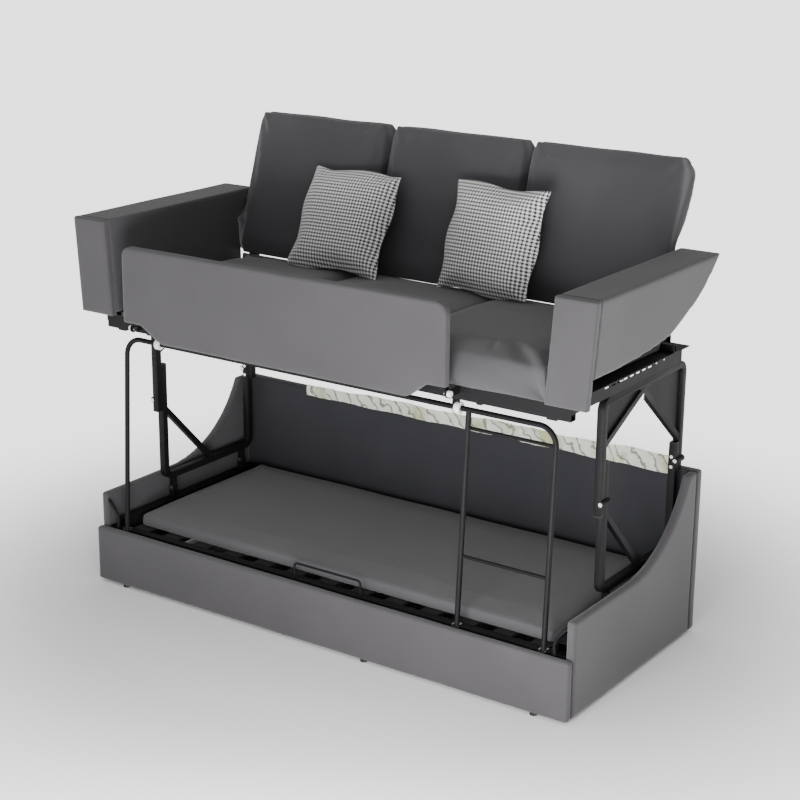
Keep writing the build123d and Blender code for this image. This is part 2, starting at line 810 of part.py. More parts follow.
def apex_bolts():
    """The two bolts under the right upper frame's top bar, where its braces meet."""
    bar_face = upper_bar_z - tube / 2
    reach = brace_w + apex_drop
    pieces = []
    for side in (-1, 1):
        x = frame_x + side * apex_bolt_spacing / 2
        y = apex_y
        low = bar_face - reach - apex_bolt_len / 2
        pieces.append(rod_z(low, bar_face - reach + apex_bolt_len / 2, x, y, bolt_d / 2))
    return joined(pieces) - upper_braces()


def seat_front_rail():
    """The front rail of the seat, with two small tabs under it."""
    half = seat_web_outer - seat_web_t
    rail = hollow_bar_x(-half, half, (seat_rail_y, seat_rail_y + seat_rail_w),
                        (seat_rail_bottom, deck_bottom), rail_wall)
    tab_x, small_x = seat_flange_inner, rail_tab_small_share * seat_flange_inner
    tabs = ((tab_x, rail_tab_w), (small_x, rail_tab_small_w), (-tab_x, rail_tab_w))
    for x, width in tabs:
        rail = rail + block((x - width / 2, x + width / 2), (seat_rail_y, seat_rail_y + seat_rail_w),
                            (seat_rail_bottom - rail_tab_h, seat_rail_bottom))
    return rail


def seat_rear_rail():
    """The rear rail, on top of the slats and between the end rails."""
    return hollow_bar_x(-seat_flange_inner, seat_flange_inner,
                        (seat_rear_rail_y, seat_rear_rail_y + seat_rear_rail_w),
                        (deck_top, deck_top + seat_rear_rail_h), rail_wall)


def seat_end_rail():
    """The right end rail: an angle with a row of slots, and the cheeks of the top hinge."""
    rear = seat_rear_rail_y + seat_rear_rail_w
    web = block((seat_web_outer - seat_web_t, seat_web_outer), (seat_rail_y, seat_web_rear),
                (seat_pivot_z - seat_web_bottom_drop, flange_top))
    flange = block((seat_flange_inner, seat_web_outer), (seat_rail_y, rear), (deck_top, flange_top))
    rail = web + flange
    for y in lug_places:
        rail = rail + hinge_cheeks(y, seat_pivot_z, deck_top)
    rail = rail - pin_bore(seat_pivot_z, seat_rail_y, seat_web_rear, frame_x)
    slot_z = flange_top - slot_below_top
    for i in range(slot_count):
        y = slot_start + slot_pitch * i
        opening = Pos(y + slot_len / 2, slot_z) * SlotOverall(slot_len, slot_h)
        rail = rail - plate_yz(opening, seat_web_outer - seat_web_t - overrun, seat_web_outer + overrun)
    return rail


def seat_slats():
    """The slats under the seat cushion, on the front rail and under the rear rail."""
    return slat_row(seat_slat_count, seat_flange_inner - slat_w / 2 - cushion_gap,
                    seat_rail_y, seat_rear_rail_y + seat_rear_rail_w, deck_bottom)


def seat_hinge_pins():
    """The pins of the seat's end hinges."""
    right = joined([hinge_pin(y, seat_pivot_z) for y in lug_places])
    return right + mirrored(right)


def post_outline(z0, z1):
    """The side view of a leaning post between two heights."""
    low_shift = back_lean * (z0 - back_post_foot_z)
    high_shift = back_lean * (z1 - back_post_foot_z)
    return make_face(Polyline((back_post_y + low_shift, z0), (back_post_y + back_post_d + low_shift, z0),
                              (back_post_y + back_post_d + high_shift, z1), (back_post_y + high_shift, z1),
                              close=True))


def backrest_bars():
    """The backrest's two bars: one on the end rails, one across the tops of the posts."""
    low_bar = hollow_bar_x(-seat_web_outer, seat_web_outer, (back_post_y, back_post_y + back_post_d),
                           (flange_top, back_post_foot_z), rail_wall)
    reach = back_post_x_shares[-1] * back_half_width + back_post_w / 2
    return low_bar + plate_yz(post_outline(back_post_top - back_bar_h, back_post_top), -reach, reach)


def backrest_posts():
    """The four leaning posts between the backrest's bars."""
    posts = []
    for share in back_post_x_shares:
        x = share * back_half_width
        posts.append(plate_yz(post_outline(back_post_foot_z, back_post_top - back_bar_h),
                              x - back_post_w / 2, x + back_post_w / 2))
    return joined(posts)


def seat_section(x, draw, crown):
    """One outline of the seat cushion: a skirt over the front rail, a round front, an arched top."""
    front = seat_front + draw
    top = seat_top - draw
    r = seat_round
    rear = back_post_y - seat_rear_gap - draw
    low = deck_top + cushion_gap
    skirt_in = seat_rail_y - cushion_gap
    k = r * (1 - sin(radians(45)))
    knee = (front, top - r)
    hem = (front + draw * hem_share, seat_skirt_bottom)
    edges = [ThreePointArc(hem, (front - crown, (seat_skirt_bottom + top - r) / 2), knee),
             ThreePointArc(knee, (front + k, top - k), (front + r, top)),
             ThreePointArc((front + r, top), ((front + rear) / 2, top + crown), (rear, top - crown)),
             Line((rear, top - crown), (rear, low)),
             Line((rear, low), (skirt_in, low)),
             Line((skirt_in, low), (skirt_in, seat_skirt_bottom)),
             Line((skirt_in, seat_skirt_bottom), hem)]
    return Plane(origin=(x, 0, 0), x_dir=(0, 1, 0), z_dir=(1, 0, 0)) * make_face(edges)


def seat_cushion():
    """The seat cushion, drawn in at its ends and along the seams between its three panels."""
    ends = (-seat_half_width, seam_left_x, seam_right_x, seat_half_width)
    faces = [seat_section(ends[0], seat_draw, seat_crown * seam_crown_share)]
    for left, right in zip(ends[:-1], ends[1:]):
        faces.append(seat_section(left + seam_half, 0, seat_crown * side_crown_share))
        faces.append(seat_section((left + right) / 2, 0, seat_crown))
        faces.append(seat_section(right - seam_half, 0, seat_crown * side_crown_share))
        if right < ends[-1]:
            faces.append(seat_section(right, seam_draw, seat_crown * seam_crown_share))
    faces.append(seat_section(ends[-1], seat_draw, seat_crown * seam_crown_share))
    return loft(faces, ruled=True)


def back_section(x0, x1, height, thick, draw, crown):
    """One outline of a back cushion, square to its lean: an arched front and round corners."""
    r = back_round * thick / back_thick
    low, high = x0 + draw, x1 - draw
    k = r * (1 - sin(radians(45)))
    edges = [ThreePointArc((low + r, 0), ((low + high) / 2, -crown), (high - r, 0)),
             ThreePointArc((high - r, 0), (high - k, k), (high, r)),
             Line((high, r), (high, thick - r)),
             ThreePointArc((high, thick - r), (high - k, thick - k), (high - r, thick)),
             Line((high - r, thick), (low + r, thick)),
             ThreePointArc((low + r, thick), (low + k, thick - k), (low, thick - r)),
             Line((low, thick - r), (low, r)),
             ThreePointArc((low, r), (low + k, k), (low + r, 0))]
    return Pos(0, 0, height) * make_face(edges)


def back_cushion(x0, x1):
    """A back cushion: thin where the frame carries it, full and puffed above."""
    faces = []
    for thickness, shares in ((back_thin, back_low_shares), (back_thick, back_high_shares)):
        for share, thick_share, draw_share, crown_share in shares:
            faces.append(back_section(x0, x1, share * back_height, thickness * thick_share,
                                      back_round * draw_share, back_crown * crown_share))
    return Pos(0, back_front_y, back_bottom) * Rot(-back_tilt, 0, 0) * loft(faces, ruled=True)


def seat_height(y):
    """The height of the seat cushion's arched top at a place between its front and rear."""
    y0, y1, z0, z1 = seat_front + seat_round, back_post_y - seat_rear_gap, seat_top, seat_top - seat_crown
    middle, peak = (seat_front + y1) / 2, seat_top + seat_crown
    return (z0 * (y - middle) * (y - y1) / ((y0 - middle) * (y0 - y1))
            + peak * (y - y0) * (y - y1) / ((middle - y0) * (middle - y1))
            + z1 * (y - y0) * (y - middle) / ((y1 - y0) * (y1 - middle)))


def pillow(x, y, lean, turn, rise):
    """A loose square cushion: thin seamed edges, sides that draw in, and a full middle."""
    faces = []
    for share, full_share, draw_share in pillow_shares:
        half = pillow_w / 2 - pillow_draw * draw_share
        edge = pillow_edge_t / 2
        belly = edge + (pillow_t - pillow_edge_t) / 2 * full_share + overrun
        edges = [ThreePointArc((-half, -edge), (0, -belly), (half, -edge)),
                 Line((half, -edge), (half, edge)),
                 ThreePointArc((half, edge), (0, belly), (-half, edge)),
                 Line((-half, edge), (-half, -edge))]
        faces.append(Pos(0, 0, pillow_h / 2 * (1 + share)) * make_face(edges))
    body = loft(faces, ruled=True)
    rest = seat_height(y) + (pillow_edge_t / 2 + overrun) * sin(radians(lean)) + rise
    return Pos(x, y, rest) * Rot(0, 0, turn) * Rot(-lean, 0, 0) * body


def arm_contour():
    """The outline of an arm from the side, cut off below, with its tip drawn up at the rear."""
    front = arm_front + arm_board_t
    mid_low = ((arm_flat_depth + arm_curve_y) / 2,
               arm_flat_z + (arm_curve_z - arm_flat_z) * arm_low_arc_share)
    mid_high = ((arm_curve_y + arm_shoulder_y) / 2,
                arm_curve_z + (arm_shoulder_z - arm_curve_z) * arm_high_arc_share)
    top = arm_top
    edges = [Line((front, top), (front, arm_flat_z)),
             Line((front, arm_flat_z), (arm_flat_depth, arm_flat_z)),
             ThreePointArc((arm_flat_depth, arm_flat_z), mid_low, (arm_curve_y, arm_curve_z)),
             ThreePointArc((arm_curve_y, arm_curve_z), mid_high, (arm_shoulder_y, arm_shoulder_z)),
             Line((arm_shoulder_y, arm_shoulder_z), (arm_tip_y, top)),
             Line((arm_tip_y, top), (front, top))]
    return make_face(edges)


def arm_x(z, low, high):
    """Where a leaning face of the arm stands at a height."""
    return low + (high - low) * (z - arm_low_z) / (arm_top - arm_low_z)


def arm_slab(inner_shift, outer_shift, z0, z1):
    """The space between the arm's leaning faces, moved in or out."""
    points = [(arm_x(z0, arm_inner_low, arm_inner_high) + inner_shift, z0),
              (arm_x(z0, arm_outer_low, arm_outer_high) - outer_shift, z0),
              (arm_x(z1, arm_outer_low, arm_outer_high) - outer_shift, z1),
              (arm_x(z1, arm_inner_low, arm_inner_high) + inner_shift, z1)]
    return make_face(Polyline(*points, close=True))


def arm():
    """The right arm: outer wall, top and inner wall of covered board, open below."""
    front = arm_front + arm_board_t
    shape = plate_xz(arm_slab(0, 0, arm_flat_z - overrun, arm_top), front, arm_tip_y)
    shape = shape & plate_yz(arm_contour(), arm_inner_low, arm_outer_high)
    shape = fillet(shape.edges().filter_by(Axis.Y).group_by(Axis.Z)[-1], board_round)
    hollow = plate_xz(arm_slab(arm_wall_t, arm_wall_t, arm_flat_z - 2 * overrun, arm_top - arm_wall_t),
                      front - overrun, arm_shoulder_y)
    shape = shape - hollow
    z0 = flange_top
    wall = make_face(Polyline((arm_x(z0, arm_inner_low, arm_inner_high), z0),
                              (arm_x(z0, arm_inner_low, arm_inner_high) + arm_wall_t, z0),
                              (arm_x(arm_flat_z, arm_inner_low, arm_inner_high) + arm_wall_t, arm_flat_z),
                              (arm_x(arm_flat_z, arm_inner_low, arm_inner_high), arm_flat_z), close=True))
    shape = shape + plate_xz(wall, front, arm_flat_depth)
    return shape + plate_xz(tall_inner_wall(), arm_flat_depth, back_post_y - side_fit) - below_contour()


def tall_inner_wall():
    """The inner wall's outline behind the flat stretch, down to the end rail."""
    z0, z1 = flange_top, arm_top - arm_wall_t
    return make_face(Polyline((arm_x(z0, arm_inner_low, arm_inner_high), z0),
                              (arm_x(z0, arm_inner_low, arm_inner_high) + arm_wall_t, z0),
                              (arm_x(z1, arm_inner_low, arm_inner_high) + arm_wall_t, z1),
                              (arm_x(z1, arm_inner_low, arm_inner_high), z1), close=True))


def below_contour():
    """The corner under the arm's tip that the inner wall leaves free."""
    low = (back_post_y - side_fit, arm_curve_z)
    return plate_yz(make_face(Polyline(low, (arm_tip_y, arm_curve_z), (arm_tip_y, arm_shoulder_z),
                                       (arm_shoulder_y, arm_shoulder_z), close=True)),
                    arm_inner_low - overrun, arm_inner_high + arm_wall_t + overrun)


def arm_front_board():
    """The covered board across the front of the right arm."""
    board = plate_xz(arm_slab(0, 0, arm_low_z, arm_top), arm_front, arm_front + arm_board_t)
    rim = [e for e in board.edges() if abs(e.center().Y - arm_front) < overrun]
    return fillet(rim, board_round)


def guard_panel():
    """The padded guard panel, cut up at both lower corners to clear its hinges."""
    left_in = guard_left + guard_notch_left
    right_in = guard_right - guard_notch_right
    points = [(guard_left, guard_notch_z), (left_in, guard_notch_z),
              (left_in + guard_notch_slope_left, guard_bottom),
              (right_in - guard_notch_slope_right, guard_bottom), (right_in, guard_notch_z),
              (guard_right, guard_notch_z), (guard_right, guard_top), (guard_left, guard_top)]
    face = make_face(Polyline(*points, close=True))
    bends = [v for v in face.vertices() if guard_left + overrun < v.X < guard_right - overrun]
    face = fillet(bends, guard_corner_r)
    tops = [v for v in face.vertices() if v.Y > guard_top - overrun]
    face = fillet(tops, guard_corner_r)
    board = plate_xz(face, guard_front, guard_front + guard_t)
    rim = [e for e in board.edges() if abs(e.center().Y - guard_front) < overrun]
    return fillet(rim, guard_round)


def guard_lugs():
    """The lugs under the guard panel that turn on its pins."""
    lugs = []
    y0, y1 = guard_axis_y - guard_pin_d, guard_axis_y + guard_pin_d
    right_x = guard_right - guard_plate_t
    left_x = guard_left_plate_x + guard_plate_t + guard_plate_gap
    for x, sign in ((right_x, -1), (left_x, 1)):
        plate = block((x, x + guard_plate_t), (y0, y1), (guard_axis_z, guard_notch_z))
        plate = plate + rod_x(x, x + guard_plate_t, guard_axis_y, guard_axis_z, guard_pin_d)
        far = x + guard_plate_t / 2 + sign * guard_lug_foot
        foot = block((min(x, far), max(x + guard_plate_t, far)), (y0, y1),
                     (guard_notch_z - guard_plate_t, guard_notch_z))
        bore = rod_x(x - overrun, x + guard_plate_t + overrun, guard_axis_y, guard_axis_z,
                     guard_pin_d / 2 + pin_fit)
        lugs.append(plate + foot - bore)
    return joined(lugs)


def guard_brackets():
    """The plates that carry the guard panel's pins, from the seat's front rail."""
    plates = []
    for x in (guard_right_plate_x, guard_left_plate_x):
        arm_z = (guard_axis_z - guard_plate_r, seat_skirt_bottom - guard_plate_clear)
        bar = block((x, x + guard_plate_t), (guard_axis_y, seat_rail_y), arm_z)
        nose = rod_x(x, x + guard_plate_t, guard_axis_y, guard_axis_z, guard_plate_r)
        bore = rod_x(x - overrun, x + guard_plate_t + overrun, guard_axis_y, guard_axis_z,
                     guard_pin_d / 2 + pin_fit)
        plates.append(bar + nose - bore)
    return joined(plates)


def guard_pins():
    """The pins of the guard panel."""
    pins = []
    for x, sign in ((guard_right_plate_x, 1), (guard_left_plate_x, -1)):
        lug_far = x - guard_plate_gap - guard_plate_t if sign > 0 else x + 2 * guard_plate_t + guard_plate_gap
        out_far = x + guard_plate_t + guard_cap_t / 2 if sign > 0 else x - guard_cap_t / 2
        low, high = min(lug_far, out_far), max(lug_far, out_far)
        shaft = rod_x(low, high, guard_axis_y, guard_axis_z, guard_pin_d / 2)
        head_low = low - pin_head_t if sign > 0 else high
        head = rod_x(head_low, head_low + pin_head_t, guard_axis_y, guard_axis_z,
                     guard_pin_d * guard_pin_head_share)
        pins.append(shaft + head)
    return joined(pins)


def guard_caps():
    """The white caps on the outer ends of the guard's pins."""
    caps = []
    for x, sign in ((guard_right_plate_x + guard_plate_t, 1), (guard_left_plate_x, -1)):
        low = x if sign > 0 else x - guard_cap_t
        body = rod_x(low, low + guard_cap_t, guard_axis_y, guard_axis_z, guard_cap_d / 2)
        outer = body.faces().sort_by(Axis.X)[-1 if sign > 0 else 0]
        body = fillet(outer.edges(), guard_cap_round)
        hole = rod_x(x - overrun if sign > 0 else x - guard_cap_t / 2,
                     x + guard_cap_t / 2 if sign > 0 else x + overrun,
                     guard_axis_y, guard_axis_z, guard_pin_d / 2)
        caps.append(body - hole)
    return joined(caps)


def ladder_plates():
    """The plates under the seat's front rail that hold the ladder's bushings."""
    plates = []
    for x in (bushing_right_x, bushing_left_x):
        x1 = x - bushing_t / 2
        x0 = x1 - ladder_plate_t
        top = seat_rail_bottom
        hanger = block((x0, x1), (ladder_axis_y - ladder_plate_r, ladder_axis_y + ladder_plate_r),
                       (ladder_axis_z, top))
        hanger = hanger + rod_x(x0, x1, ladder_axis_y, ladder_axis_z, ladder_plate_r)
        flange = block((x0 - ladder_plate_r, x0), (seat_rail_y, seat_rail_y + seat_rail_w),
                       (top - ladder_plate_t, top))
        bore = rod_x(x0 - overrun, x1 + overrun, ladder_axis_y, ladder_axis_z, ladder_d / 2 + bushing_fit)
        plates.append(hanger + flange - bore)
    return joined(plates)


def ladder_bushings():
    """The white plastic bushings that the ladder's top bar turns in."""
    rings = []
    for x in (bushing_right_x, bushing_left_x):
        ring = rod_x(x - bushing_t / 2, x + bushing_t / 2, ladder_axis_y, ladder_axis_z, bushing_d / 2)
        ring = fillet(ring.faces().sort_by(Axis.X)[-1].edges(), bushing_round)
        bore = rod_x(x - bushing_t, x + bushing_t, ladder_axis_y, ladder_axis_z, ladder_d / 2 + bushing_fit)
        rings.append(ring - bore)
    return joined(rings)


def round_tube(points, radius, bend, wall):
    """A round tube along straight runs joined by bends."""
    path = FilletPolyline(*points, radius=bend) if len(points) > 2 else Polyline(*points)
    start = Vector(*points[1]) - Vector(*points[0])
    ring = Circle(radius) - Circle(radius - wall) if wall < radius else Circle(radius)
    return sweep(Plane(origin=points[0], z_dir=start) * ring, path=path)


def hoop_route():
    """The corners of the hoop, from foot to foot."""
    return [(-ladder_leg_x, ladder_foot_y, ladder_foot_z), (-ladder_leg_x, ladder_axis_y, ladder_axis_z),
            (ladder_leg_x, ladder_axis_y, ladder_axis_z), (ladder_leg_x, ladder_foot_y, ladder_foot_z)]


def ladder_hoop():
    """The wide hoop: two leaning legs and the top bar that turns in the bushings."""
    return round_tube(hoop_route(), ladder_d / 2, ladder_bend_r, ladder_wall)


def rail_route():
    """The two ends of the second rail."""
    return [(ladder_rail_foot_x, ladder_foot_y, ladder_foot_z),
            (ladder_rail_top_x, ladder_axis_y, ladder_axis_z)]


def ladder_y(z):
    """Where the leaning plane of the ladder stands at a height."""
    share = (z - ladder_foot_z) / (ladder_axis_z - ladder_foot_z)
    return ladder_foot_y + (ladder_axis_y - ladder_foot_y) * share


def ladder_rail_x(z):
    """Where the second rail stands at a height."""
    share = (z - ladder_foot_z) / (ladder_axis_z - ladder_foot_z)
    return ladder_rail_foot_x + (ladder_rail_top_x - ladder_rail_foot_x) * share


def ladder_rail():
    """The second rail of the ladder, from the top bar down."""
    bar = round_tube(rail_route(), ladder_d / 2, ladder_bend_r, ladder_wall)
    return bar - rod_x(ladder_rail_foot_x - bushing_d, ladder_rail_top_x + bushing_d,
                       ladder_axis_y, ladder_axis_z, ladder_d / 2)


def ladder_rungs():
    """The two rungs between the second rail and the right leg."""
    rungs = []
    filled = (round_tube(hoop_route(), ladder_d / 2, ladder_bend_r, ladder_d)
              + round_tube(rail_route(), ladder_d / 2, ladder_bend_r, ladder_d))
    for z in (rung_high_z, rung_low_z):
        rungs.append(rod_x(ladder_rail_x(z), ladder_leg_x, ladder_y(z), z, rung_d / 2))
    return joined(rungs) - filled


def ladder_tips():
    """Plastic plugs in the ladder's three feet."""
    tips = []
    for x, top_x in ((-ladder_leg_x, -ladder_leg_x), (ladder_rail_foot_x, ladder_rail_top_x),
                     (ladder_leg_x, ladder_leg_x)):
        foot = (x, ladder_foot_y, ladder_foot_z)
        direction = Vector(top_x, ladder_axis_y, ladder_axis_z) - Vector(*foot)
        plug = Cylinder(ladder_d / 2 - ladder_wall, foot_tip_len,
                        align=(Align.CENTER, Align.CENTER, Align.MIN))
        tips.append(Plane(origin=foot, z_dir=direction) * plug)
    return joined(tips)


nodes = {
    "base_front_board": base_front_board(),
    "base_side_right": base_side_panel(),
    "base_side_left": mirrored(base_side_panel()),
    "base_back_panel": base_back_panel(),
    "floor_glides": floor_glides(),
    "lower_front_rail": lower_front_rail(),
    "lower_rear_rail": lower_rear_rail(),
    "lower_end_rail_right": lower_end_rail(),
    "lower_end_rail_left": mirrored(lower_end_rail()),
    "lower_slats": lower_slats(),
    "lower_mattress": lower_mattress(),
    "mattress_stop_loop": mattress_stop_loop(),
    "corner_bars": corner_bars(),
    "ladder_foot_clips": ladder_foot_clips(),
    "base_hinge_pins": base_hinge_pins(),
    "back_lining": back_lining(),
    "lining_strip": lining_strip(),
    "right_lower_frame": lower_frame(),
    "left_lower_frame": mirrored(lower_frame()),
    "right_lower_caps": lower_frame_caps(),
    "left_lower_caps": mirrored(lower_frame_caps()),
    "right_knee_pins": knee_pins(),
    "left_knee_pins": mirrored(knee_pins()),
    "right_upper_frame": upper_frame(),
    "left_upper_frame": mirrored(upper_frame()),
    "right_gussets": gussets(),
    "left_gussets": mirrored(gussets()),
    "right_upper_caps": upper_frame_caps(),
    "left_upper_caps": mirrored(upper_frame_caps()),
    "right_apex_bolts": apex_bolts(),
    "left_apex_bolts": mirrored(apex_bolts()),
    "seat_front_rail": seat_front_rail(),
    "seat_rear_rail": seat_rear_rail(),
    "seat_end_rail_right": seat_end_rail(),
    "seat_end_rail_left": mirrored(seat_end_rail()),
    "seat_slats": seat_slats(),
    "seat_hinge_pins": seat_hinge_pins(),
    "backrest_bars": backrest_bars(),
    "backrest_posts": backrest_posts(),
    "seat_cushion": seat_cushion(),
    "back_cushion_left": back_cushion(-back_half_width, seam_left_x - back_side_gap),
    "back_cushion_middle": back_cushion(seam_left_x + back_side_gap, seam_right_x - back_side_gap),
    "back_cushion_right": back_cushion(seam_right_x + back_side_gap, back_half_width),
    "throw_pillow_left": pillow(pillow_left_x_share * seat_half_width, back_post_y - pillow_left_back,
                                pillow_left_lean, 0, pillow_left_rise),
    "throw_pillow_right": pillow(pillow_right_x_share * seat_half_width, back_post_y - pillow_right_back,
                                 pillow_right_lean, pillow_right_turn, pillow_right_rise),
    "arm_right": arm(),
    "arm_left": mirrored(arm()),
    "arm_front_board_right": arm_front_board(),
    "arm_front_board_left": mirrored(arm_front_board()),
    "guard_brackets": guard_brackets(),
    "guard_pins": guard_pins(),
    "guard_caps": guard_caps(),
    "ladder_plates": ladder_plates(),
    "ladder_bushings": ladder_bushings(),
    "guard_panel": guard_panel(),
    "guard_lugs": guard_lugs(),
    "ladder_hoop": ladder_hoop(),
    "ladder_rail": ladder_rail(),
    "ladder_rungs": ladder_rungs(),
    "ladder_tips": ladder_tips(),
}

# the origin goes to the floor, under the middle of the whole object
boxes = [piece.bounding_box() for piece in nodes.values()]
y_middle = (min(b.min.Y for b in boxes) + max(b.max.Y for b in boxes)) / 2
for name, piece in nodes.items():
    export_step(Pos(0, -y_middle, 0) * piece, f"parts/{name}.step")
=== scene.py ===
"""Looks of a sofa that unfolds into a bunk bed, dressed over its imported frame."""

import json
import logging
import math
from dataclasses import dataclass
from enum import Enum

import bmesh
import bpy
import numpy as np
from bpy.types import Material, Mesh, Modifier, Node, NodeOutputs, NodeSocket, NodeTree, Object
from mathutils import Matrix, Vector
from mathutils.bvhtree import BVHTree

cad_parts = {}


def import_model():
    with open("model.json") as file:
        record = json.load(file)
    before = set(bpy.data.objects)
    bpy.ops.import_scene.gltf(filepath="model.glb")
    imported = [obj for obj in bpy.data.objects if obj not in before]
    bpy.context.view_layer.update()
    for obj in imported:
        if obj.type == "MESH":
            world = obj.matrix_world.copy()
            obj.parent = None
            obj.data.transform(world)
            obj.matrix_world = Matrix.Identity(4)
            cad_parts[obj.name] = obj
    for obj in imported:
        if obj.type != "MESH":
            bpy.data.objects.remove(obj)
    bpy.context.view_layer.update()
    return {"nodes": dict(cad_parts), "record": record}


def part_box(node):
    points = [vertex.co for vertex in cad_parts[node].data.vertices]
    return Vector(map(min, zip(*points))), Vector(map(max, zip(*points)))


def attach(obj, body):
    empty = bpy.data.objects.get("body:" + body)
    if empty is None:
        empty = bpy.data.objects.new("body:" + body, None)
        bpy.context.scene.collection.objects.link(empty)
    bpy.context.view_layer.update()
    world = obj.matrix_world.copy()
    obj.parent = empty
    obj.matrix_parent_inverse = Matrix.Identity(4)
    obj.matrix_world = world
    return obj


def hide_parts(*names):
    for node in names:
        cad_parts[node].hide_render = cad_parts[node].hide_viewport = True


LOG = logging.getLogger("bunk_sofa")
Point = tuple[float, float, float]
Colour = tuple[float, float, float]
CLOTH = {"quality": 4, "mass": 0.3, "tension_stiffness": 12, "compression_stiffness": 12, "shear_stiffness": 6,
         "bending_stiffness": 0.6, "use_pressure": True}


class Slot(str, Enum):
    """The record's material slots."""

    COVER = "grey_cover"
    SEAT = "grey_cushion_cover"
    BACK = "dark_cushion_cover"
    LINING = "dark_lining"
    TICKING = "ticking"
    CHECK = "houndstooth"
    STEEL = "black_steel"
    ZINC = "zinc_steel"
    WHITE = "white_plastic"
    BLACK = "black_plastic"
    SLAT = "slat_wood"


class Body(str, Enum):
    """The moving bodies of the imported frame."""

    BASE = "base"
    SEAT = "seat"
    GUARD = "guard"
    LADDER = "ladder"
    LEFT_LOWER = "left_lower_frame"
    LEFT_UPPER = "left_upper_frame"
    RIGHT_LOWER = "right_lower_frame"
    RIGHT_UPPER = "right_upper_frame"


class NodeWriter:
    """Adds nodes to a tree and joins their sockets."""

    def __init__(self, tree: NodeTree) -> None:
        """Starts on an empty tree."""
        self.tree = tree
        tree.nodes.clear()

    def add(self, kind: str, inputs: dict | None = None, **settings: object) -> Node:
        """Adds one node, sets it up and joins its inputs.

        Args:
            kind: The node's type name.
            inputs: For each input's name or number, a value or the socket that feeds it.
            settings: The node's own properties.

        Returns:
            The new node.
        """
        node = self.tree.nodes.new(kind)
        for name, value in settings.items():
            setattr(node, name, value)
        for key, value in (inputs or {}).items():
            socket = node.inputs[key]
            if isinstance(value, NodeSocket):
                self.tree.links.new(value, socket)
            else:
                socket.default_value = value
        return node

    def math(self, operation: str, a: object, b: object = 0.0) -> NodeSocket:
        """Adds a math node and returns its result."""
        return self.add("ShaderNodeMath", {0: a, 1: b}, operation=operation).outputs[0]

    def blend(self, share: object, low: object, high: object) -> NodeSocket:
        """Mixes two colours by a share and returns the colour."""
        node = self.add("ShaderNodeMix", {}, data_type="RGBA")
        for index, value in ((0, share), (6, low), (7, high)):
            if isinstance(value, NodeSocket):
                self.tree.links.new(value, node.inputs[index])
            else:
                node.inputs[index].default_value = value
        return node.outputs[2]


def effect_group(name: str, inputs: dict[str, object], outputs: dict[str, str]) -> tuple:
    """Makes an empty shader group that takes a vector and named colours and numbers.

    Args:
        name: The group's name.
        inputs: For each further input's name, its default value.
        outputs: For each output's name, its kind.

    Returns:
        The group, its writer, what it is given and what it gives out.
    """
    group = bpy.data.node_groups.new(name, "ShaderNodeTree")
    group.interface.new_socket(name="Vector", in_out="INPUT", socket_type="NodeSocketVector")
    for title, value in inputs.items():
        kind = "NodeSocketColor" if isinstance(value, tuple) else "NodeSocketFloat"
        group.interface.new_socket(name=title, in_out="INPUT", socket_type=kind).default_value = value
    for title, kind in outputs.items():
        group.interface.new_socket(name=title, in_out="OUTPUT", socket_type="NodeSocket" + kind)
    writer = NodeWriter(group)
    return group, writer, writer.add("NodeGroupInput").outputs, writer.add("NodeGroupOutput").inputs


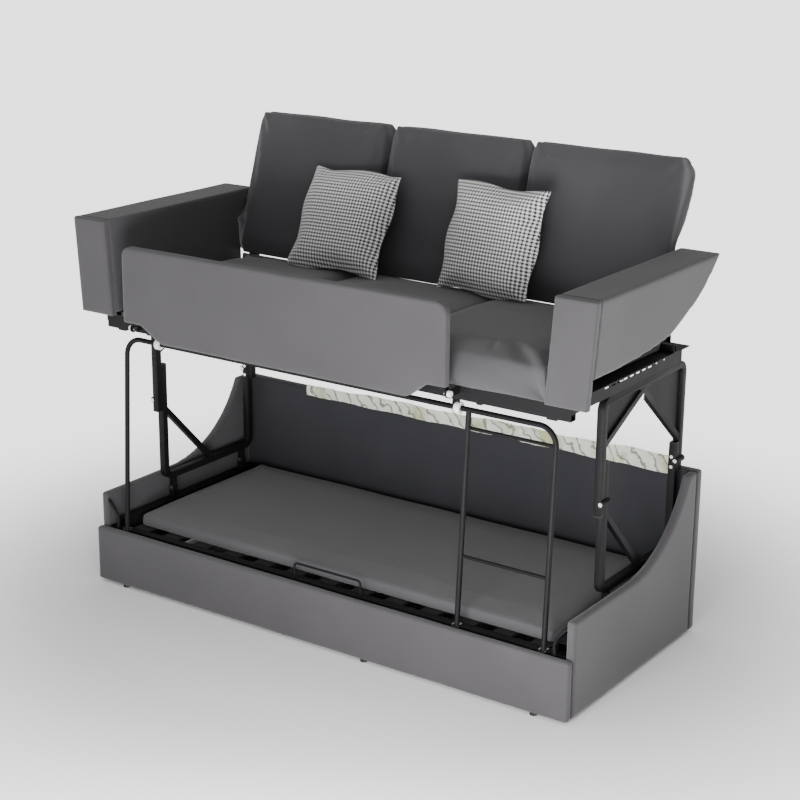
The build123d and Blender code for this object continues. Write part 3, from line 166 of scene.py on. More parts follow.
class Effects:
    """The surface effects that several finishes share, each built once."""

    def __init__(self) -> None:
        """Builds every group."""
        self.cloud = self._cloud()
        self.weave = self._weave()
        self.peel = self._peel()

    @staticmethod
    def _cloud() -> NodeTree:
        """Slow changes of shade, as handled cloth or dust shows."""
        group, put, given, out = effect_group(
            "slow_shade", {"Size": 6.0, "Dark": (0, 0, 0, 1), "Light": (1, 1, 1, 1), "Grain": 900.0},
            {"Color": "Color", "Mask": "Float"})
        slow = put.add("ShaderNodeTexNoise", {"Vector": given["Vector"], "Scale": given["Size"],
                                              "Detail": 3.0, "Roughness": 0.55})
        fine = put.add("ShaderNodeTexNoise", {"Vector": given["Vector"],
                                              "Scale": given["Grain"], "Detail": 2.0})
        spread = put.math("MULTIPLY_ADD", slow.outputs[0], 1.6)
        spread.node.inputs[2].default_value = -0.3
        mixed = put.math("ADD", put.math("MULTIPLY", spread, 0.6), put.math("MULTIPLY", fine.outputs[0], 0.4))
        mixed.node.use_clamp = True
        put.tree.links.new(put.blend(mixed, given["Dark"], given["Light"]), out["Color"])
        put.tree.links.new(mixed, out["Mask"])
        return group

    @staticmethod
    def _weave() -> NodeTree:
        """The height of a plain weave, read along all three axes so that it suits any face."""
        group, put, given, out = effect_group(
            "plain_weave", {"Threads": 900.0, "Slub": 0.5}, {"Height": "Float"})
        jitter = put.add("ShaderNodeTexNoise", {"Vector": given["Vector"], "Scale": 60.0, "Detail": 2.0})
        apart = put.add("ShaderNodeSeparateXYZ", {0: given["Vector"]})
        turn = put.math("MULTIPLY", given["Threads"], math.pi)
        slub = put.math("MULTIPLY", jitter.outputs[0], given["Slub"])
        waves = [put.math("SINE", put.math("ADD", put.math("MULTIPLY", apart.outputs[i], turn), slub))
                 for i in range(3)]
        pairs = [put.math("MULTIPLY", waves[0], waves[1]), put.math("MULTIPLY", waves[1], waves[2]),
                 put.math("MULTIPLY", waves[2], waves[0])]
        put.tree.links.new(put.math("ADD", put.math("ADD", pairs[0], pairs[1]), pairs[2]), out["Height"])
        return group

    @staticmethod
    def _peel() -> NodeTree:
        """The faint orange peel and uneven gloss of a coated surface."""
        group, put, given, out = effect_group(
            "coat_peel", {"Size": 400.0, "Rough": 0.35, "Spread": 0.15},
            {"Height": "Float", "Roughness": "Float"})
        peel = put.add("ShaderNodeTexNoise", {"Vector": given["Vector"],
                                              "Scale": given["Size"], "Detail": 2.0})
        rub = put.add("ShaderNodeTexNoise", {"Vector": given["Vector"], "Scale": 14.0, "Detail": 5.0})
        rough = put.math("ADD", given["Rough"], put.math("MULTIPLY", rub.outputs[0], given["Spread"]))
        put.tree.links.new(peel.outputs[0], out["Height"])
        put.tree.links.new(rough, out["Roughness"])
        return group


class MaterialWriter(NodeWriter):
    """Writes one material's nodes, with the object coordinates and the shared effects at hand."""

    def __init__(self, name: str, effects: Effects | None = None) -> None:
        """Starts an empty material.

        Args:
            name: The material's name.
            effects: The shared surface effects, where it needs them.
        """
        self.material = bpy.data.materials.new(name)
        self.material.use_nodes = True
        self.effects = effects
        super().__init__(self.material.node_tree)
        self.place = self.add("ShaderNodeTexCoord").outputs["Object"]

    def group(self, tree: NodeTree, inputs: dict[str, object]) -> NodeOutputs:
        """Places a shared effect and returns what it gives out."""
        return self.add("ShaderNodeGroup", {"Vector": self.place, **inputs}, node_tree=tree).outputs

    def shade(self, dark: Colour, light: Colour, size: float, grain: float = 900.0) -> NodeSocket:
        """A colour that changes slowly between two shades."""
        return self.group(self.effects.cloud, {"Size": size, "Grain": grain, "Dark": (*dark, 1),
                                               "Light": (*light, 1)})["Color"]

    def weave(self, threads: float) -> NodeSocket:
        """The height of a plain weave of so many threads in a metre."""
        return self.group(self.effects.weave, {"Threads": threads})["Height"]

    def bump(self, height: NodeSocket, strength: float, depth: float) -> NodeSocket:
        """The normal of a surface with a fine relief."""
        relief = {"Height": height, "Strength": strength, "Distance": depth}
        return self.add("ShaderNodeBump", relief).outputs[0]

    def finish(self, inputs: dict[str, object]) -> Material:
        """Adds the Principled shader and the output, and returns the material."""
        surface = self.add("ShaderNodeBsdfPrincipled", inputs)
        self.add("ShaderNodeOutputMaterial", {"Surface": surface.outputs[0]})
        return self.material


@dataclass(frozen=True)
class Finish:
    """A surface that makes one material."""

    name: str

    def look(self, put: MaterialWriter) -> dict[str, object]:
        """Writes the surface's nodes and returns the Principled shader's inputs."""
        raise NotImplementedError

    def build(self, effects: Effects) -> Material:
        """Makes the material with the shared effects."""
        put = MaterialWriter(self.name, effects)
        return put.finish(self.look(put))


@dataclass(frozen=True)
class ClothFinish(Finish):
    """A plain upholstery cloth: its two shades, thread and sheen."""

    dark: Colour
    light: Colour
    threads: float = 900.0
    depth: float = 0.00025
    sheen: float = 0.25
    rough: float = 0.72

    def look(self, put: MaterialWriter) -> dict[str, object]:
        """Two slow shades on a plain weave."""
        return {"Base Color": put.shade(self.dark, self.light, 5.0, 700.0),
                "Normal": put.bump(put.weave(self.threads), 0.35, self.depth), "Roughness": self.rough,
                "Sheen Weight": self.sheen, "Sheen Roughness": 0.45, "Specular IOR Level": 0.22}


@dataclass(frozen=True)
class CheckFinish(Finish):
    """A black and white houndstooth cloth, woven along the cushion's own map."""

    repeat: float = 0.0125
    black: Colour = (0.01, 0.01, 0.011)

    def look(self, put: MaterialWriter) -> dict[str, object]:
        """Crosses a dark warp and weft in a twill.

        Args:
            put: The material's writer.

        Returns:
            The Principled shader's inputs.
        """
        where = put.add("ShaderNodeUVMap", {}, uv_map="cloth").outputs[0]
        apart = put.add("ShaderNodeSeparateXYZ", {0: where})
        u, v = (put.math("MULTIPLY", apart.outputs[i], 1 / self.repeat) for i in (0, 1))
        warp = put.math("LESS_THAN", put.math("FRACT", u), 0.5)
        weft = put.math("LESS_THAN", put.math("FRACT", v), 0.5)
        over = put.math("LESS_THAN", put.math("FRACT", put.math("MULTIPLY", put.math("ADD", u, v), 2.0)), 0.5)
        dark = put.math("ADD", put.math("MULTIPLY", warp, over),
                        put.math("MULTIPLY", weft, put.math("SUBTRACT", 1.0, over)))
        white = put.shade((0.84, 0.84, 0.83), (0.95, 0.95, 0.94), 30.0)
        twill = put.math("SINE", put.math("MULTIPLY", put.math("ADD", u, v), 8 * math.pi))
        return {"Base Color": put.blend(dark, white, (*self.black, 1)), "Normal": put.bump(twill, 0.3, 0.0003),
                "Roughness": 0.85, "Sheen Weight": 0.15, "Specular IOR Level": 0.2}


@dataclass(frozen=True)
class TickingFinish(Finish):
    """A thin cream cotton with loose olive and grey lines."""

    slant: float = 38.0

    def look(self, put: MaterialWriter) -> dict[str, object]:
        """Draws slanting lines over cream and olive patches.

        Args:
            put: The material's writer.

        Returns:
            The Principled shader's inputs.
        """
        slant = (0, math.radians(self.slant), 0)
        turned = put.add("ShaderNodeMapping", {"Vector": put.place, "Rotation": slant})
        lines = put.add("ShaderNodeTexWave", {"Vector": turned.outputs[0], "Scale": 7.0, "Distortion": 7.0,
                                              "Detail": 3.0, "Detail Scale": 2.2},
                        wave_type="BANDS", bands_direction="X")
        narrow = put.add("ShaderNodeMapRange", {"Value": lines.outputs[1], 1: 0.0, 2: 0.14, 3: 1.0, 4: 0.0})
        patches = put.add("ShaderNodeTexNoise", {"Vector": put.place, "Scale": 11.0, "Detail": 2.0})
        tint = put.add("ShaderNodeMapRange", {"Value": patches.outputs[0], 1: 0.5, 2: 0.66})
        cream = put.shade((0.5, 0.51, 0.43), (0.7, 0.7, 0.64), 20.0)
        olive = put.blend(tint.outputs[0], cream, (0.4, 0.41, 0.24, 1))
        colour = put.blend(put.math("MULTIPLY", narrow.outputs[0], 0.85), olive, (0.09, 0.1, 0.07, 1))
        return {"Base Color": colour, "Normal": put.bump(put.weave(1500.0), 0.2, 0.0002), "Roughness": 0.8,
                "Sheen Weight": 0.1}


@dataclass(frozen=True)
class HardFinish(Finish):
    """A coated, plated or moulded surface."""

    dark: Colour
    light: Colour
    metallic: float = 0.0
    rough: float = 0.35
    spread: float = 0.15
    peel: float = 400.0
    depth: float = 0.0001
    coat: float = 0.0
    gloss: float = 0.3

    def look(self, put: MaterialWriter) -> dict[str, object]:
        """Two slow shades under a faint orange peel."""
        skin = put.group(put.effects.peel, {"Size": self.peel, "Rough": self.rough, "Spread": self.spread})
        return {"Base Color": put.shade(self.dark, self.light, 12.0, 300.0),
                "Normal": put.bump(skin["Height"], 0.25, self.depth), "Roughness": skin["Roughness"],
                "Metallic": self.metallic, "Coat Weight": self.coat, "Coat Roughness": 0.2,
                "Specular IOR Level": self.gloss}


@dataclass(frozen=True)
class SlatFinish(Finish):
    """Laminated wood with its grain along the slats, coloured near-black as painted shade for the dark gap
    under the lower mattress.
    """

    # Near-black colours: painted shade standing in for the shadow under the lower mattress, not a stain of the
    # wood.
    dark: Colour = (0.006, 0.006, 0.006)
    light: Colour = (0.018, 0.0165, 0.015)
    stretch: Point = (30.0, 1.6, 30.0)

    def look(self, put: MaterialWriter) -> dict[str, object]:
        """Stretches a noise into grain.

        Args:
            put: The material's writer.

        Returns:
            The Principled shader's inputs.
        """
        along = put.add("ShaderNodeMapping", {"Vector": put.place, "Scale": self.stretch}).outputs[0]
        grain = put.add("ShaderNodeTexNoise", {"Vector": along, "Scale": 4.0, "Detail": 6.0, "Distortion": 0.4})
        skin = put.group(put.effects.peel, {"Vector": along, "Size": 9.0, "Rough": 0.5})
        return {"Base Color": put.blend(grain.outputs[0], (*self.dark, 1), (*self.light, 1)),
                "Normal": put.bump(grain.outputs[0], 0.2, 0.0003), "Roughness": skin["Roughness"]}


class Finishes:
    """Every finish of the sofa bunk, one material for each slot."""

    def __init__(self) -> None:
        """Builds the effects and then the materials."""
        effects = Effects()
        sheets = {
            Slot.COVER: ClothFinish("fine_grey_cover", (0.0455, 0.0428, 0.0465), (0.065, 0.0614, 0.0655)),
            Slot.SEAT: ClothFinish("fine_grey_seat", (0.052, 0.0512, 0.0545), (0.075, 0.0742, 0.0785),
                                   sheen=0.3),
            Slot.BACK: ClothFinish("dark_back_cloth", (0.046, 0.0455, 0.0505), (0.069, 0.0683, 0.0755),
                                   sheen=0.3),
            Slot.LINING: ClothFinish("dark_lining_cloth", (0.018, 0.018, 0.0215), (0.028, 0.028, 0.033),
                                     sheen=0.12),
            Slot.TICKING: TickingFinish("ticking_cotton"),
            Slot.CHECK: CheckFinish("houndstooth_cloth"),
            Slot.STEEL: HardFinish("black_powder_coat", (0.004, 0.004, 0.0045), (0.008, 0.008, 0.009),
                                   rough=0.48, spread=0.15, gloss=0.14),
            Slot.ZINC: HardFinish("bright_zinc", (0.55, 0.55, 0.54), (0.72, 0.72, 0.7), metallic=1.0,
                                  rough=0.18, peel=900.0),
            Slot.WHITE: HardFinish("white_nylon", (0.74, 0.74, 0.72), (0.84, 0.84, 0.82), rough=0.42),
            Slot.BLACK: HardFinish("black_moulding", (0.012, 0.012, 0.012), (0.022, 0.022, 0.022), rough=0.5),
            # The slats' near-black colour is painted shade under the lower mattress.
            Slot.SLAT: SlatFinish("slat_plywood_painted_shade"),
        }
        thread = ClothFinish("grey_thread", (0.16, 0.155, 0.165), (0.24, 0.235, 0.245), threads=2500.0)
        self.materials = {slot: finish.build(effects) for slot, finish in sheets.items()}
        self.thread = thread.build(effects)

    def __getitem__(self, slot: Slot) -> Material:
        """The material of a slot."""
        return self.materials[slot]


def coords_of(obj: Object) -> np.ndarray:
    """The vertex places of a mesh object, one row each."""
    places = np.empty(len(obj.data.vertices) * 3)
    obj.data.vertices.foreach_get("co", places)
    return places.reshape(-1, 3)


def set_coords(obj: Object, places: np.ndarray) -> None:
    """Moves the vertices of a mesh object to new places."""
    obj.data.vertices.foreach_set("co", places.ravel())
    obj.data.update()


def normals_of(obj: Object) -> np.ndarray:
    """The vertex normals of a mesh object, one row each."""
    found = np.empty(len(obj.data.vertices) * 3)
    obj.data.vertex_normals.foreach_get("vector", found)
    return found.reshape(-1, 3)


def new_object(name: str, mesh: Mesh) -> Object:
    """Puts a mesh into the scene as an object at the origin."""
    obj = bpy.data.objects.new(name, mesh)
    bpy.context.scene.collection.objects.link(obj)
    return obj


def mesh_from(name: str, points: list, faces: list) -> Object:
    """Makes an object from points and faces.

    Args:
        name: The object's name.
        points: The vertex places in metres.
        faces: The vertex numbers of each face.

    Returns:
        The new object.
    """
    mesh = bpy.data.meshes.new(name)
    mesh.from_pydata([tuple(p) for p in points], [], faces)
    return new_object(name, mesh)


def applied(obj: Object) -> Object:
    """Turns an object's modifiers into its plain mesh.

    Args:
        obj: The object with live modifiers.

    Returns:
        The same object, with no modifier left.
    """
    graph = bpy.context.evaluated_depsgraph_get()
    mesh = bpy.data.meshes.new_from_object(obj.evaluated_get(graph))
    obj.modifiers.clear()
    obj.data = mesh
    return obj


def merged_copy(node: Object, name: str) -> Object:
    """A copy of a CAD node's mesh with its doubled vertices merged.

    Args:
        node: The CAD node's object.
        name: The copy's name.

    Returns:
        The copy, at the origin.
    """
    work = bmesh.new()
    work.from_mesh(node.data)
    bmesh.ops.remove_doubles(work, verts=work.verts, dist=1e-5)
    mesh = bpy.data.meshes.new(name)
    work.to_mesh(mesh)
    work.free()
    return new_object(name, mesh)


def add_modifier(obj: Object, kind: str, **settings: object) -> Modifier:
    """Adds a modifier to an object and sets it up."""
    modifier = obj.modifiers.new(kind, kind)
    for name, value in settings.items():
        setattr(modifier, name, value)
    return modifier


def remeshed(obj: Object, voxel: float) -> Object:
    """Gives an object an even skin of small quads."""
    add_modifier(obj, "REMESH", mode="VOXEL", voxel_size=voxel)
    return applied(obj)


def smoothed(obj: Object, rounds: int) -> Object:
    """Rounds an object's edges by averaging neighbours."""
    add_modifier(obj, "SMOOTH", iterations=rounds, factor=0.5)
    return applied(obj)


def subdivided(obj: Object) -> Object:
    """Divides an object's faces once."""
    add_modifier(obj, "SUBSURF", levels=1, render_levels=1)
    return applied(obj)


def puffed(obj: Object, pressure: float, cap: float, held: np.ndarray | None = None,
           frames: int = 20) -> Object:
    """Blows a closed skin up as cloth, with no gravity, and keeps the result.

    Args:
        obj: The closed mesh.
        pressure: The cloth's inner pressure.
        cap: The furthest that a point may move, in metres.
        held: For each vertex, how firmly it stays, from 0 to 1.
        frames: How many frames the simulation runs.

    Returns:
        The same object with its new shape.
    """
    rest = coords_of(obj)
    if held is not None:
        group = obj.vertex_groups.new(name="held")
        for index in np.nonzero(held > 0.01)[0]:
            group.add([int(index)], float(held[index]), "REPLACE")
    modifier = add_modifier(obj, "CLOTH")
    cloth = modifier.settings
    for name, value in CLOTH.items():
        setattr(cloth, name, value)
    cloth.uniform_pressure_force = pressure
    cloth.effector_weights.gravity = 0
    if held is not None:
        cloth.vertex_group_mass = "held"
    modifier.collision_settings.use_self_collision = False
    modifier.point_cache.frame_start = 1
    modifier.point_cache.frame_end = frames
    scene = bpy.context.scene
    for step in range(1, frames + 1):
        scene.frame_set(step)
    applied(obj)
    scene.frame_set(1)
    obj.vertex_groups.clear()
    move = coords_of(obj) - rest
    reach = np.linalg.norm(move, axis=1, keepdims=True)
    share = np.where(reach > 1e-9, cap * np.tanh(reach / cap) / np.maximum(reach, 1e-9), 1.0)
    set_coords(obj, rest + move * share)
    return obj


@dataclass(frozen=True)
class Crease:
    """A soft valley or ridge along a line on a cushion."""

    start: tuple[float, float, float]
    end: tuple[float, float, float]
    depth: float = 0.004
    width: float = 0.012

    def shift(self, places: np.ndarray) -> np.ndarray:
        """How far each place sinks, fading towards both ends.

        Args:
            places: The vertex places.

        Returns:
            The depth at each place.
        """
        a, b = np.array(self.start), np.array(self.end)
        run = b - a
        share = np.clip((places - a) @ run / (run @ run), 0, 1)
        away = np.linalg.norm(places - (a + share[:, None] * run), axis=1)
        fade = np.sin(np.pi * np.clip(share, 0.2, 0.8))
        return self.depth * fade * np.exp(-((away / self.width) ** 2))


def creased(obj: Object, creases: tuple[Crease, ...]) -> Object:
    """Presses creases into a cushion along its normals."""
    if creases:
        places = coords_of(obj)
        sink = sum(crease.shift(places) for crease in creases)
        set_coords(obj, places - normals_of(obj) * sink[:, None])
    return obj


def rippled(obj: Object, height: float, length: float, seed: float) -> Object:
    """Adds the slow unevenness of stuffed cloth.

    Args:
        obj: The cushion.
        height: How far the surface rises and falls.
        length: The length of a ripple.
        seed: Moves the pattern, so that each cushion has its own.

    Returns:
        The same object.
    """
    places = coords_of(obj)
    turn = 2 * math.pi / length
    x, y, z = (places[:, i] for i in range(3))
    wave = (np.sin(turn * x + seed + 1.3 * np.sin(turn * 0.6 * z + seed))
            + np.sin(turn * 0.8 * (z + y) + 2 * seed + 1.1 * np.sin(turn * 0.7 * x)))
    set_coords(obj, places + normals_of(obj) * (height * wave / 2)[:, None])
    return obj


def surface_of(obj: Object) -> BVHTree:
    """A search tree over an object's faces."""
    return BVHTree.FromPolygons([v.co for v in obj.data.vertices], [p.vertices for p in obj.data.polygons])


def rested(obj: Object, support: Object, gap: float = 0.0005) -> Object:
    """Lifts or lowers an object until it lies on another.

    Args:
        obj: The object that comes to rest.
        support: What it rests on.
        gap: How much air stays between them.

    Returns:
        The same object.
    """
    tree = surface_of(support)
    places = coords_of(obj)
    low = places[places[:, 2] < places[:, 2].min() + 0.06]
    clear = []
    for x, y, z in low:
        hit = tree.ray_cast(Vector((x, y, z + 0.3)), Vector((0, 0, -1)))[0]
        if hit is not None:
            clear.append(z - hit.z)
    if clear:
        places[:, 2] -= min(clear) - gap
        set_coords(obj, places)
    return obj


def cleared(obj: Object, others: list[Object], step: float = 0.002) -> Object:
    """Slides an object forward until it cuts into none of its neighbours.

    Args:
        obj: The object that moves.
        others: The neighbours.
        step: How far it slides each time.

    Returns:
        The same object.
    """
    trees = [surface_of(other) for other in others]
    for _ in range(30):
        if not any(surface_of(obj).overlap(tree) for tree in trees):
            break
        set_coords(obj, coords_of(obj) - np.array([0, step, 0]))
    return obj


def shaded_smooth(obj: Object, angle: float = 60.0) -> None:
    """Shades an object smoothly, with edges above an angle kept sharp."""
    mesh = obj.data
    mesh.polygons.foreach_set("use_smooth", [True] * len(mesh.polygons))
    work = bmesh.new()
    work.from_mesh(mesh)
    limit = math.radians(angle)
    for edge in work.edges:
        if len(edge.link_faces) == 2:
            edge.smooth = edge.calc_face_angle(0.0) < limit
    work.to_mesh(mesh)
    work.free()


def dressed(obj: Object, material: Material, body: Body, slot: Slot | None,
            *nodes: str) -> Object:
    """Gives a finished piece its material and body, and hides the CAD nodes that it stands for.

    Args:
        obj: The piece.
        material: Its finish.
        body: The CAD body that it rides on.
        slot: The record's material slot, where it has one; not used.
        nodes: The CAD nodes that it replaces.

    Returns:
        The same object.
    """
    obj.data.materials.clear()
    obj.data.materials.append(material)
    if nodes:
        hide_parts(*nodes)
    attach(obj, body.value)
    LOG.info("%s: %d faces on %s", obj.name, len(obj.data.polygons), body.value)
    return obj


@dataclass(frozen=True)
class Stock:
    """What every piece is made from: the CAD nodes by name and the finishes."""

    nodes: dict[str, Object]
    finishes: Finishes


def quads(rows: int, columns: int) -> list[tuple[int, ...]]:
    """The faces of a grid of points, row by row."""
    corners = [j * (columns + 1) + i for j in range(rows) for i in range(columns)]
    return [(a, a + 1, a + columns + 2, a + columns + 1) for a in corners]


class PointTree:
    """A geometry tree that sets one small body on many points and makes them one mesh."""

    def __init__(self, name: str, sizes: dict[str, float], material: Material) -> None:
        """Starts the tree with its named sizes.

        Args:
            name: The tree's name.
            sizes: For each input's name, its value in metres.
            material: The material of what is set.
        """
        self.tree = bpy.data.node_groups.new(name, "GeometryNodeTree")
        self.sizes, self.material = sizes, material
        sockets = self.tree.interface
        sockets.new_socket(name="Geometry", in_out="INPUT", socket_type="NodeSocketGeometry")
        for title, value in sizes.items():
            sockets.new_socket(name=title, in_out="INPUT", socket_type="NodeSocketFloat").default_value = value
        sockets.new_socket(name="Geometry", in_out="OUTPUT", socket_type="NodeSocketGeometry")
        self.put = NodeWriter(self.tree)
        self.given = self.put.add("NodeGroupInput").outputs
        self.out = self.put.add("NodeGroupOutput")

    def close(self, points: NodeSocket, turn: NodeSocket, bead: Node,
              scale: tuple[str, str, str]) -> None:
        """Sets the bead on every point, makes it real and gives it its material.

        Args:
            points: Where the beads go.
            turn: How each bead is turned.
            bead: The node that makes one bead.
            scale: The named sizes that scale it along its three axes.
        """
        size = self.put.add("ShaderNodeCombineXYZ", {i: self.given[title] for i, title in enumerate(scale)})
        laid = self.put.add("GeometryNodeInstanceOnPoints", {"Points": points, "Instance": bead.outputs[0],
                                                             "Rotation": turn, "Scale": size.outputs[0]})
        real = self.put.add("GeometryNodeRealizeInstances", {0: laid.outputs[0]})
        smooth = self.put.add("GeometryNodeSetShadeSmooth", {"Geometry": real.outputs[0]})
        paint = self.put.add("GeometryNodeSetMaterial",
                             {"Geometry": smooth.outputs[0], "Material": self.material})
        self.tree.links.new(paint.outputs[0], self.out.inputs[0])

    def grow(self, name: str, mesh: Mesh, body: Body, slot: Slot) -> Object:
        """Runs the tree on a mesh of points and dresses the result.

        Args:
            name: The new piece's name.
            mesh: The points, or the lines to follow.
            body: The body that it rides on.
            slot: The record's slot of its material.

        Returns:
            The finished piece.
        """
        obj = new_object(name, mesh)
        modifier = add_modifier(obj, "NODES", node_group=self.tree)
        for socket in self.tree.interface.items_tree:
            if socket.name in self.sizes:
                modifier[socket.identifier] = self.sizes[socket.name]
        return dressed(applied(obj), self.material, body, slot)


class StitchRow(PointTree):
    """Short stitches along a line."""

    def __init__(self, material: Material) -> None:
        """Builds the tree once.

        Args:
            material: The thread's material.
        """
        super().__init__("stitch_row", {"Pitch": 0.008, "Length": 0.0055, "Thickness": 0.0006}, material)
        curve = self.put.add("GeometryNodeMeshToCurve", {"Mesh": self.given["Geometry"]})
        points = self.put.add("GeometryNodeCurveToPoints",
                              {"Curve": curve.outputs[0], "Length": self.given["Pitch"]}, mode="LENGTH")
        bead = self.put.add("GeometryNodeMeshUVSphere", {"Segments": 6, "Rings": 4, "Radius": 0.5})
        self.close(points.outputs[0], points.outputs["Rotation"], bead, ("Thickness", "Thickness", "Length"))

    def lay(self, name: str, lines: list[list[Vector]], body: Body, slot: Slot) -> Object:
        """Sews stitches along lines.

        Args:
            name: The new piece's name.
            lines: The points of each line.
            body: The body that the seam rides on.
            slot: The record's slot of the cloth.

        Returns:
            The stitches as one piece.
        """
        points, edges = [], []
        for line in lines:
            first = len(points)
            points += [tuple(p) for p in line]
            edges += [(i, i + 1) for i in range(first, len(points) - 1)]
        mesh = bpy.data.meshes.new(name)
        mesh.from_pydata(points, edges, [])
        return self.grow(name, mesh, body, slot)


class ScrewField(PointTree):
    """Round screw heads on points."""

    def __init__(self, material: Material) -> None:
        """Builds the tree once.

        Args:
            material: The screws' material.
        """
        super().__init__("screw_field", {"Radius": 0.004, "Height": 0.0022}, material)
        facing = self.put.add("GeometryNodeInputNamedAttribute", {"Name": "facing"}, data_type="FLOAT_VECTOR")
        turn = self.put.add("FunctionNodeAlignRotationToVector", {"Vector": facing.outputs[0]}, axis="Z")
        head = self.put.add("GeometryNodeMeshUVSphere", {"Segments": 14, "Rings": 8, "Radius": 1.0})
        self.close(self.given["Geometry"], turn.outputs[0], head, ("Radius", "Radius", "Height"))

    def drive(self, name: str, places: list[tuple[Vector, Vector]], body: Body, slot: Slot) -> Object:
        """Sets screw heads at places.

        Args:
            name: The new piece's name.
            places: Each head's place and the way that it faces.
            body: The body that carries the screws.
            slot: The record's slot of the screws.

        Returns:
            The screws as one piece.
        """
        mesh = bpy.data.meshes.new(name)
        mesh.from_pydata([tuple(at) for at, _ in places], [], [])
        facing = mesh.attributes.new("facing", "FLOAT_VECTOR", "POINT")
        facing.data.foreach_set("vector", [value for _, way in places for value in way])
        return self.grow(name, mesh, body, slot)


@dataclass(frozen=True)
class Piece:
    """A visible piece that stands for one CAD node."""

    node: str
    body: Body = Body.SEAT
    slot: Slot = Slot.COVER

    def shape(self, solid: Object) -> Object:
        """Makes the piece's mesh for its CAD solid."""
        raise NotImplementedError

    def build(self, stock: Stock) -> Object:
        """Makes the piece and dresses it."""
        obj = self.shape(stock.nodes[self.node])
        return dressed(obj, stock.finishes[self.slot], self.body, self.slot, self.node)


@dataclass(frozen=True)
class Cushion(Piece):
    """A stuffed cushion made from its CAD solid: an even skin, blown up, with seams and creases."""

    voxel: float = 0.009
    shrink: float = 0.006
    pressure: float = 4.0
    cap: float = 0.018
    seams: tuple[float, ...] = ()
    seam_depth: float = 0.006
    creases: tuple[Crease, ...] = ()
    ripple: float = 0.0008
    ripple_length: float = 0.23
    seed: float = 0.0
    fill: float = 0.7
    allow: tuple[float, float, float] = (0.0015, 0.008, 0.008)
    keep_back: bool = False
    under: float = -0.7
    rearward: float = 0.6
    fitted: bool = False
    sink: float = 0.0
    sink_height: float = 0.1
    press: float = 0.0
    swell: float = 0.0
    swell_run: float = 0.01
    swell_share: float = 0.2
    swell_top: float = 1.36
    swell_fade: float = 0.04
    arm_rear: float = 0.269
    arm_bend: float = 1.255
    foot_share: float = 0.42
    foot_height: float = 0.34
    spread: tuple[float, float] = (0.0, 0.0)
    shelf: tuple[float, float] | None = None
    shelf_run: float = 0.03
    shelf_drop: float = 0.02
    seam_width: float = 0.0065

    def held_share(self, obj: Object) -> np.ndarray:
        """How firmly each vertex stays: the underside, the seams and a carried rear."""
        places, ways = coords_of(obj), normals_of(obj)
        held = np.where(ways[:, 2] < self.under, 1.0, 0.0)
        for seam in self.seams:
            held = np.maximum(held, np.where(np.abs(places[:, 0] - seam) < self.voxel * 0.8, 1.0, 0.0))
        if self.keep_back:
            held = np.maximum(held, np.where(ways[:, 1] > self.rearward, 1.0, 0.0))
        return held

    def settle(self, obj: Object) -> None:
        """Keeps the cushion in its place: wider at its free ends, down on the seat, inside its box.

        Args:
            obj: The cushion, after its simulation.
        """
        low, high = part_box(self.node)
        more = np.array(self.allow)
        places = coords_of(obj)
        if self.fitted:
            least, most = places.min(0), places.max(0)
            places = np.array(low) + (places - least) * (np.array(high - low) / (most - least))
        places = np.clip(places, np.array([low.x - more[0], low.y - more[1], low.z]), np.array(high) + more)
        rise = places[:, 2] - low.z
        across = (places[:, 0] - low.x) / (high.x - low.x)
        side = np.minimum(1.0, self.foot_share + rise / self.foot_height)
        places[:, 0] += side * (self.spread[1] * np.clip(across, 0, 1)
                                - self.spread[0] * np.clip(1 - across, 0, 1))
        if self.press:
            share = np.clip(rise / self.press, 0, 1)
            places[:, 2] -= (share - share ** 2.5) * self.press
        places[:, 2] -= self.sink * np.clip(1 - rise / self.sink_height, 0, 1) ** 2
        if self.swell:
            rear = self.arm_rear + np.clip(places[:, 2] - self.arm_bend, 0, None)
            behind = np.clip((places[:, 1] - rear) / self.swell_run, 0, 1)
            behind *= np.clip((self.swell_top - places[:, 2]) / self.swell_fade, 0, 1)
            left = self.spread[0] > 0
            outer = np.clip(1 - (across if left else 1 - across) / self.swell_share, 0, 1)
            places[:, 0] += (-1 if left else 1) * self.swell * behind * outer
        if self.shelf is not None:
            start, level = self.shelf
            rear = places[:, 1] > start
            reach = (high.y - start) / (places[:, 1].max() - start)
            places[rear, 1] = start + (places[rear, 1] - start) * reach
            near = np.clip((places[:, 1] - start) / self.shelf_run, 0, 1)
            limit = level + (1 - near) * self.shelf_drop
            places[:, 2] = np.minimum(places[:, 2], limit)
            edge = (places[:, 1] > start + self.shelf_run) & (places[:, 2] > level - self.shelf_drop)
            places[edge, 2] = level
        set_coords(obj, places)

    def shape(self, solid: Object) -> Object:
        """Makes the cushion.

        Args:
            solid: The CAD node's object.

        Returns:
            The finished cushion's object.
        """
        obj = remeshed(merged_copy(solid, self.node + "_soft"), self.voxel)
        smoothed(obj, 2)
        held = self.held_share(obj)
        start = coords_of(obj) - normals_of(obj) * (self.shrink * (1 - held))[:, None]
        set_coords(obj, start)
        puffed(obj, self.pressure, self.cap, held)
        subdivided(obj)
        smoothed(obj, 2)
        places, ways = coords_of(obj), normals_of(obj)
        for seam in self.seams:
            away = np.exp(-((places[:, 0] - seam) / self.seam_width) ** 2)
            places = places - ways * (self.seam_depth * away * (ways[:, 2] > -0.5))[:, None]
        set_coords(obj, places)
        rippled(obj, self.ripple, self.ripple_length, self.seed)
        creased(obj, self.creases)
        self.settle(obj)
        shaded_smooth(obj, 80)
        return obj


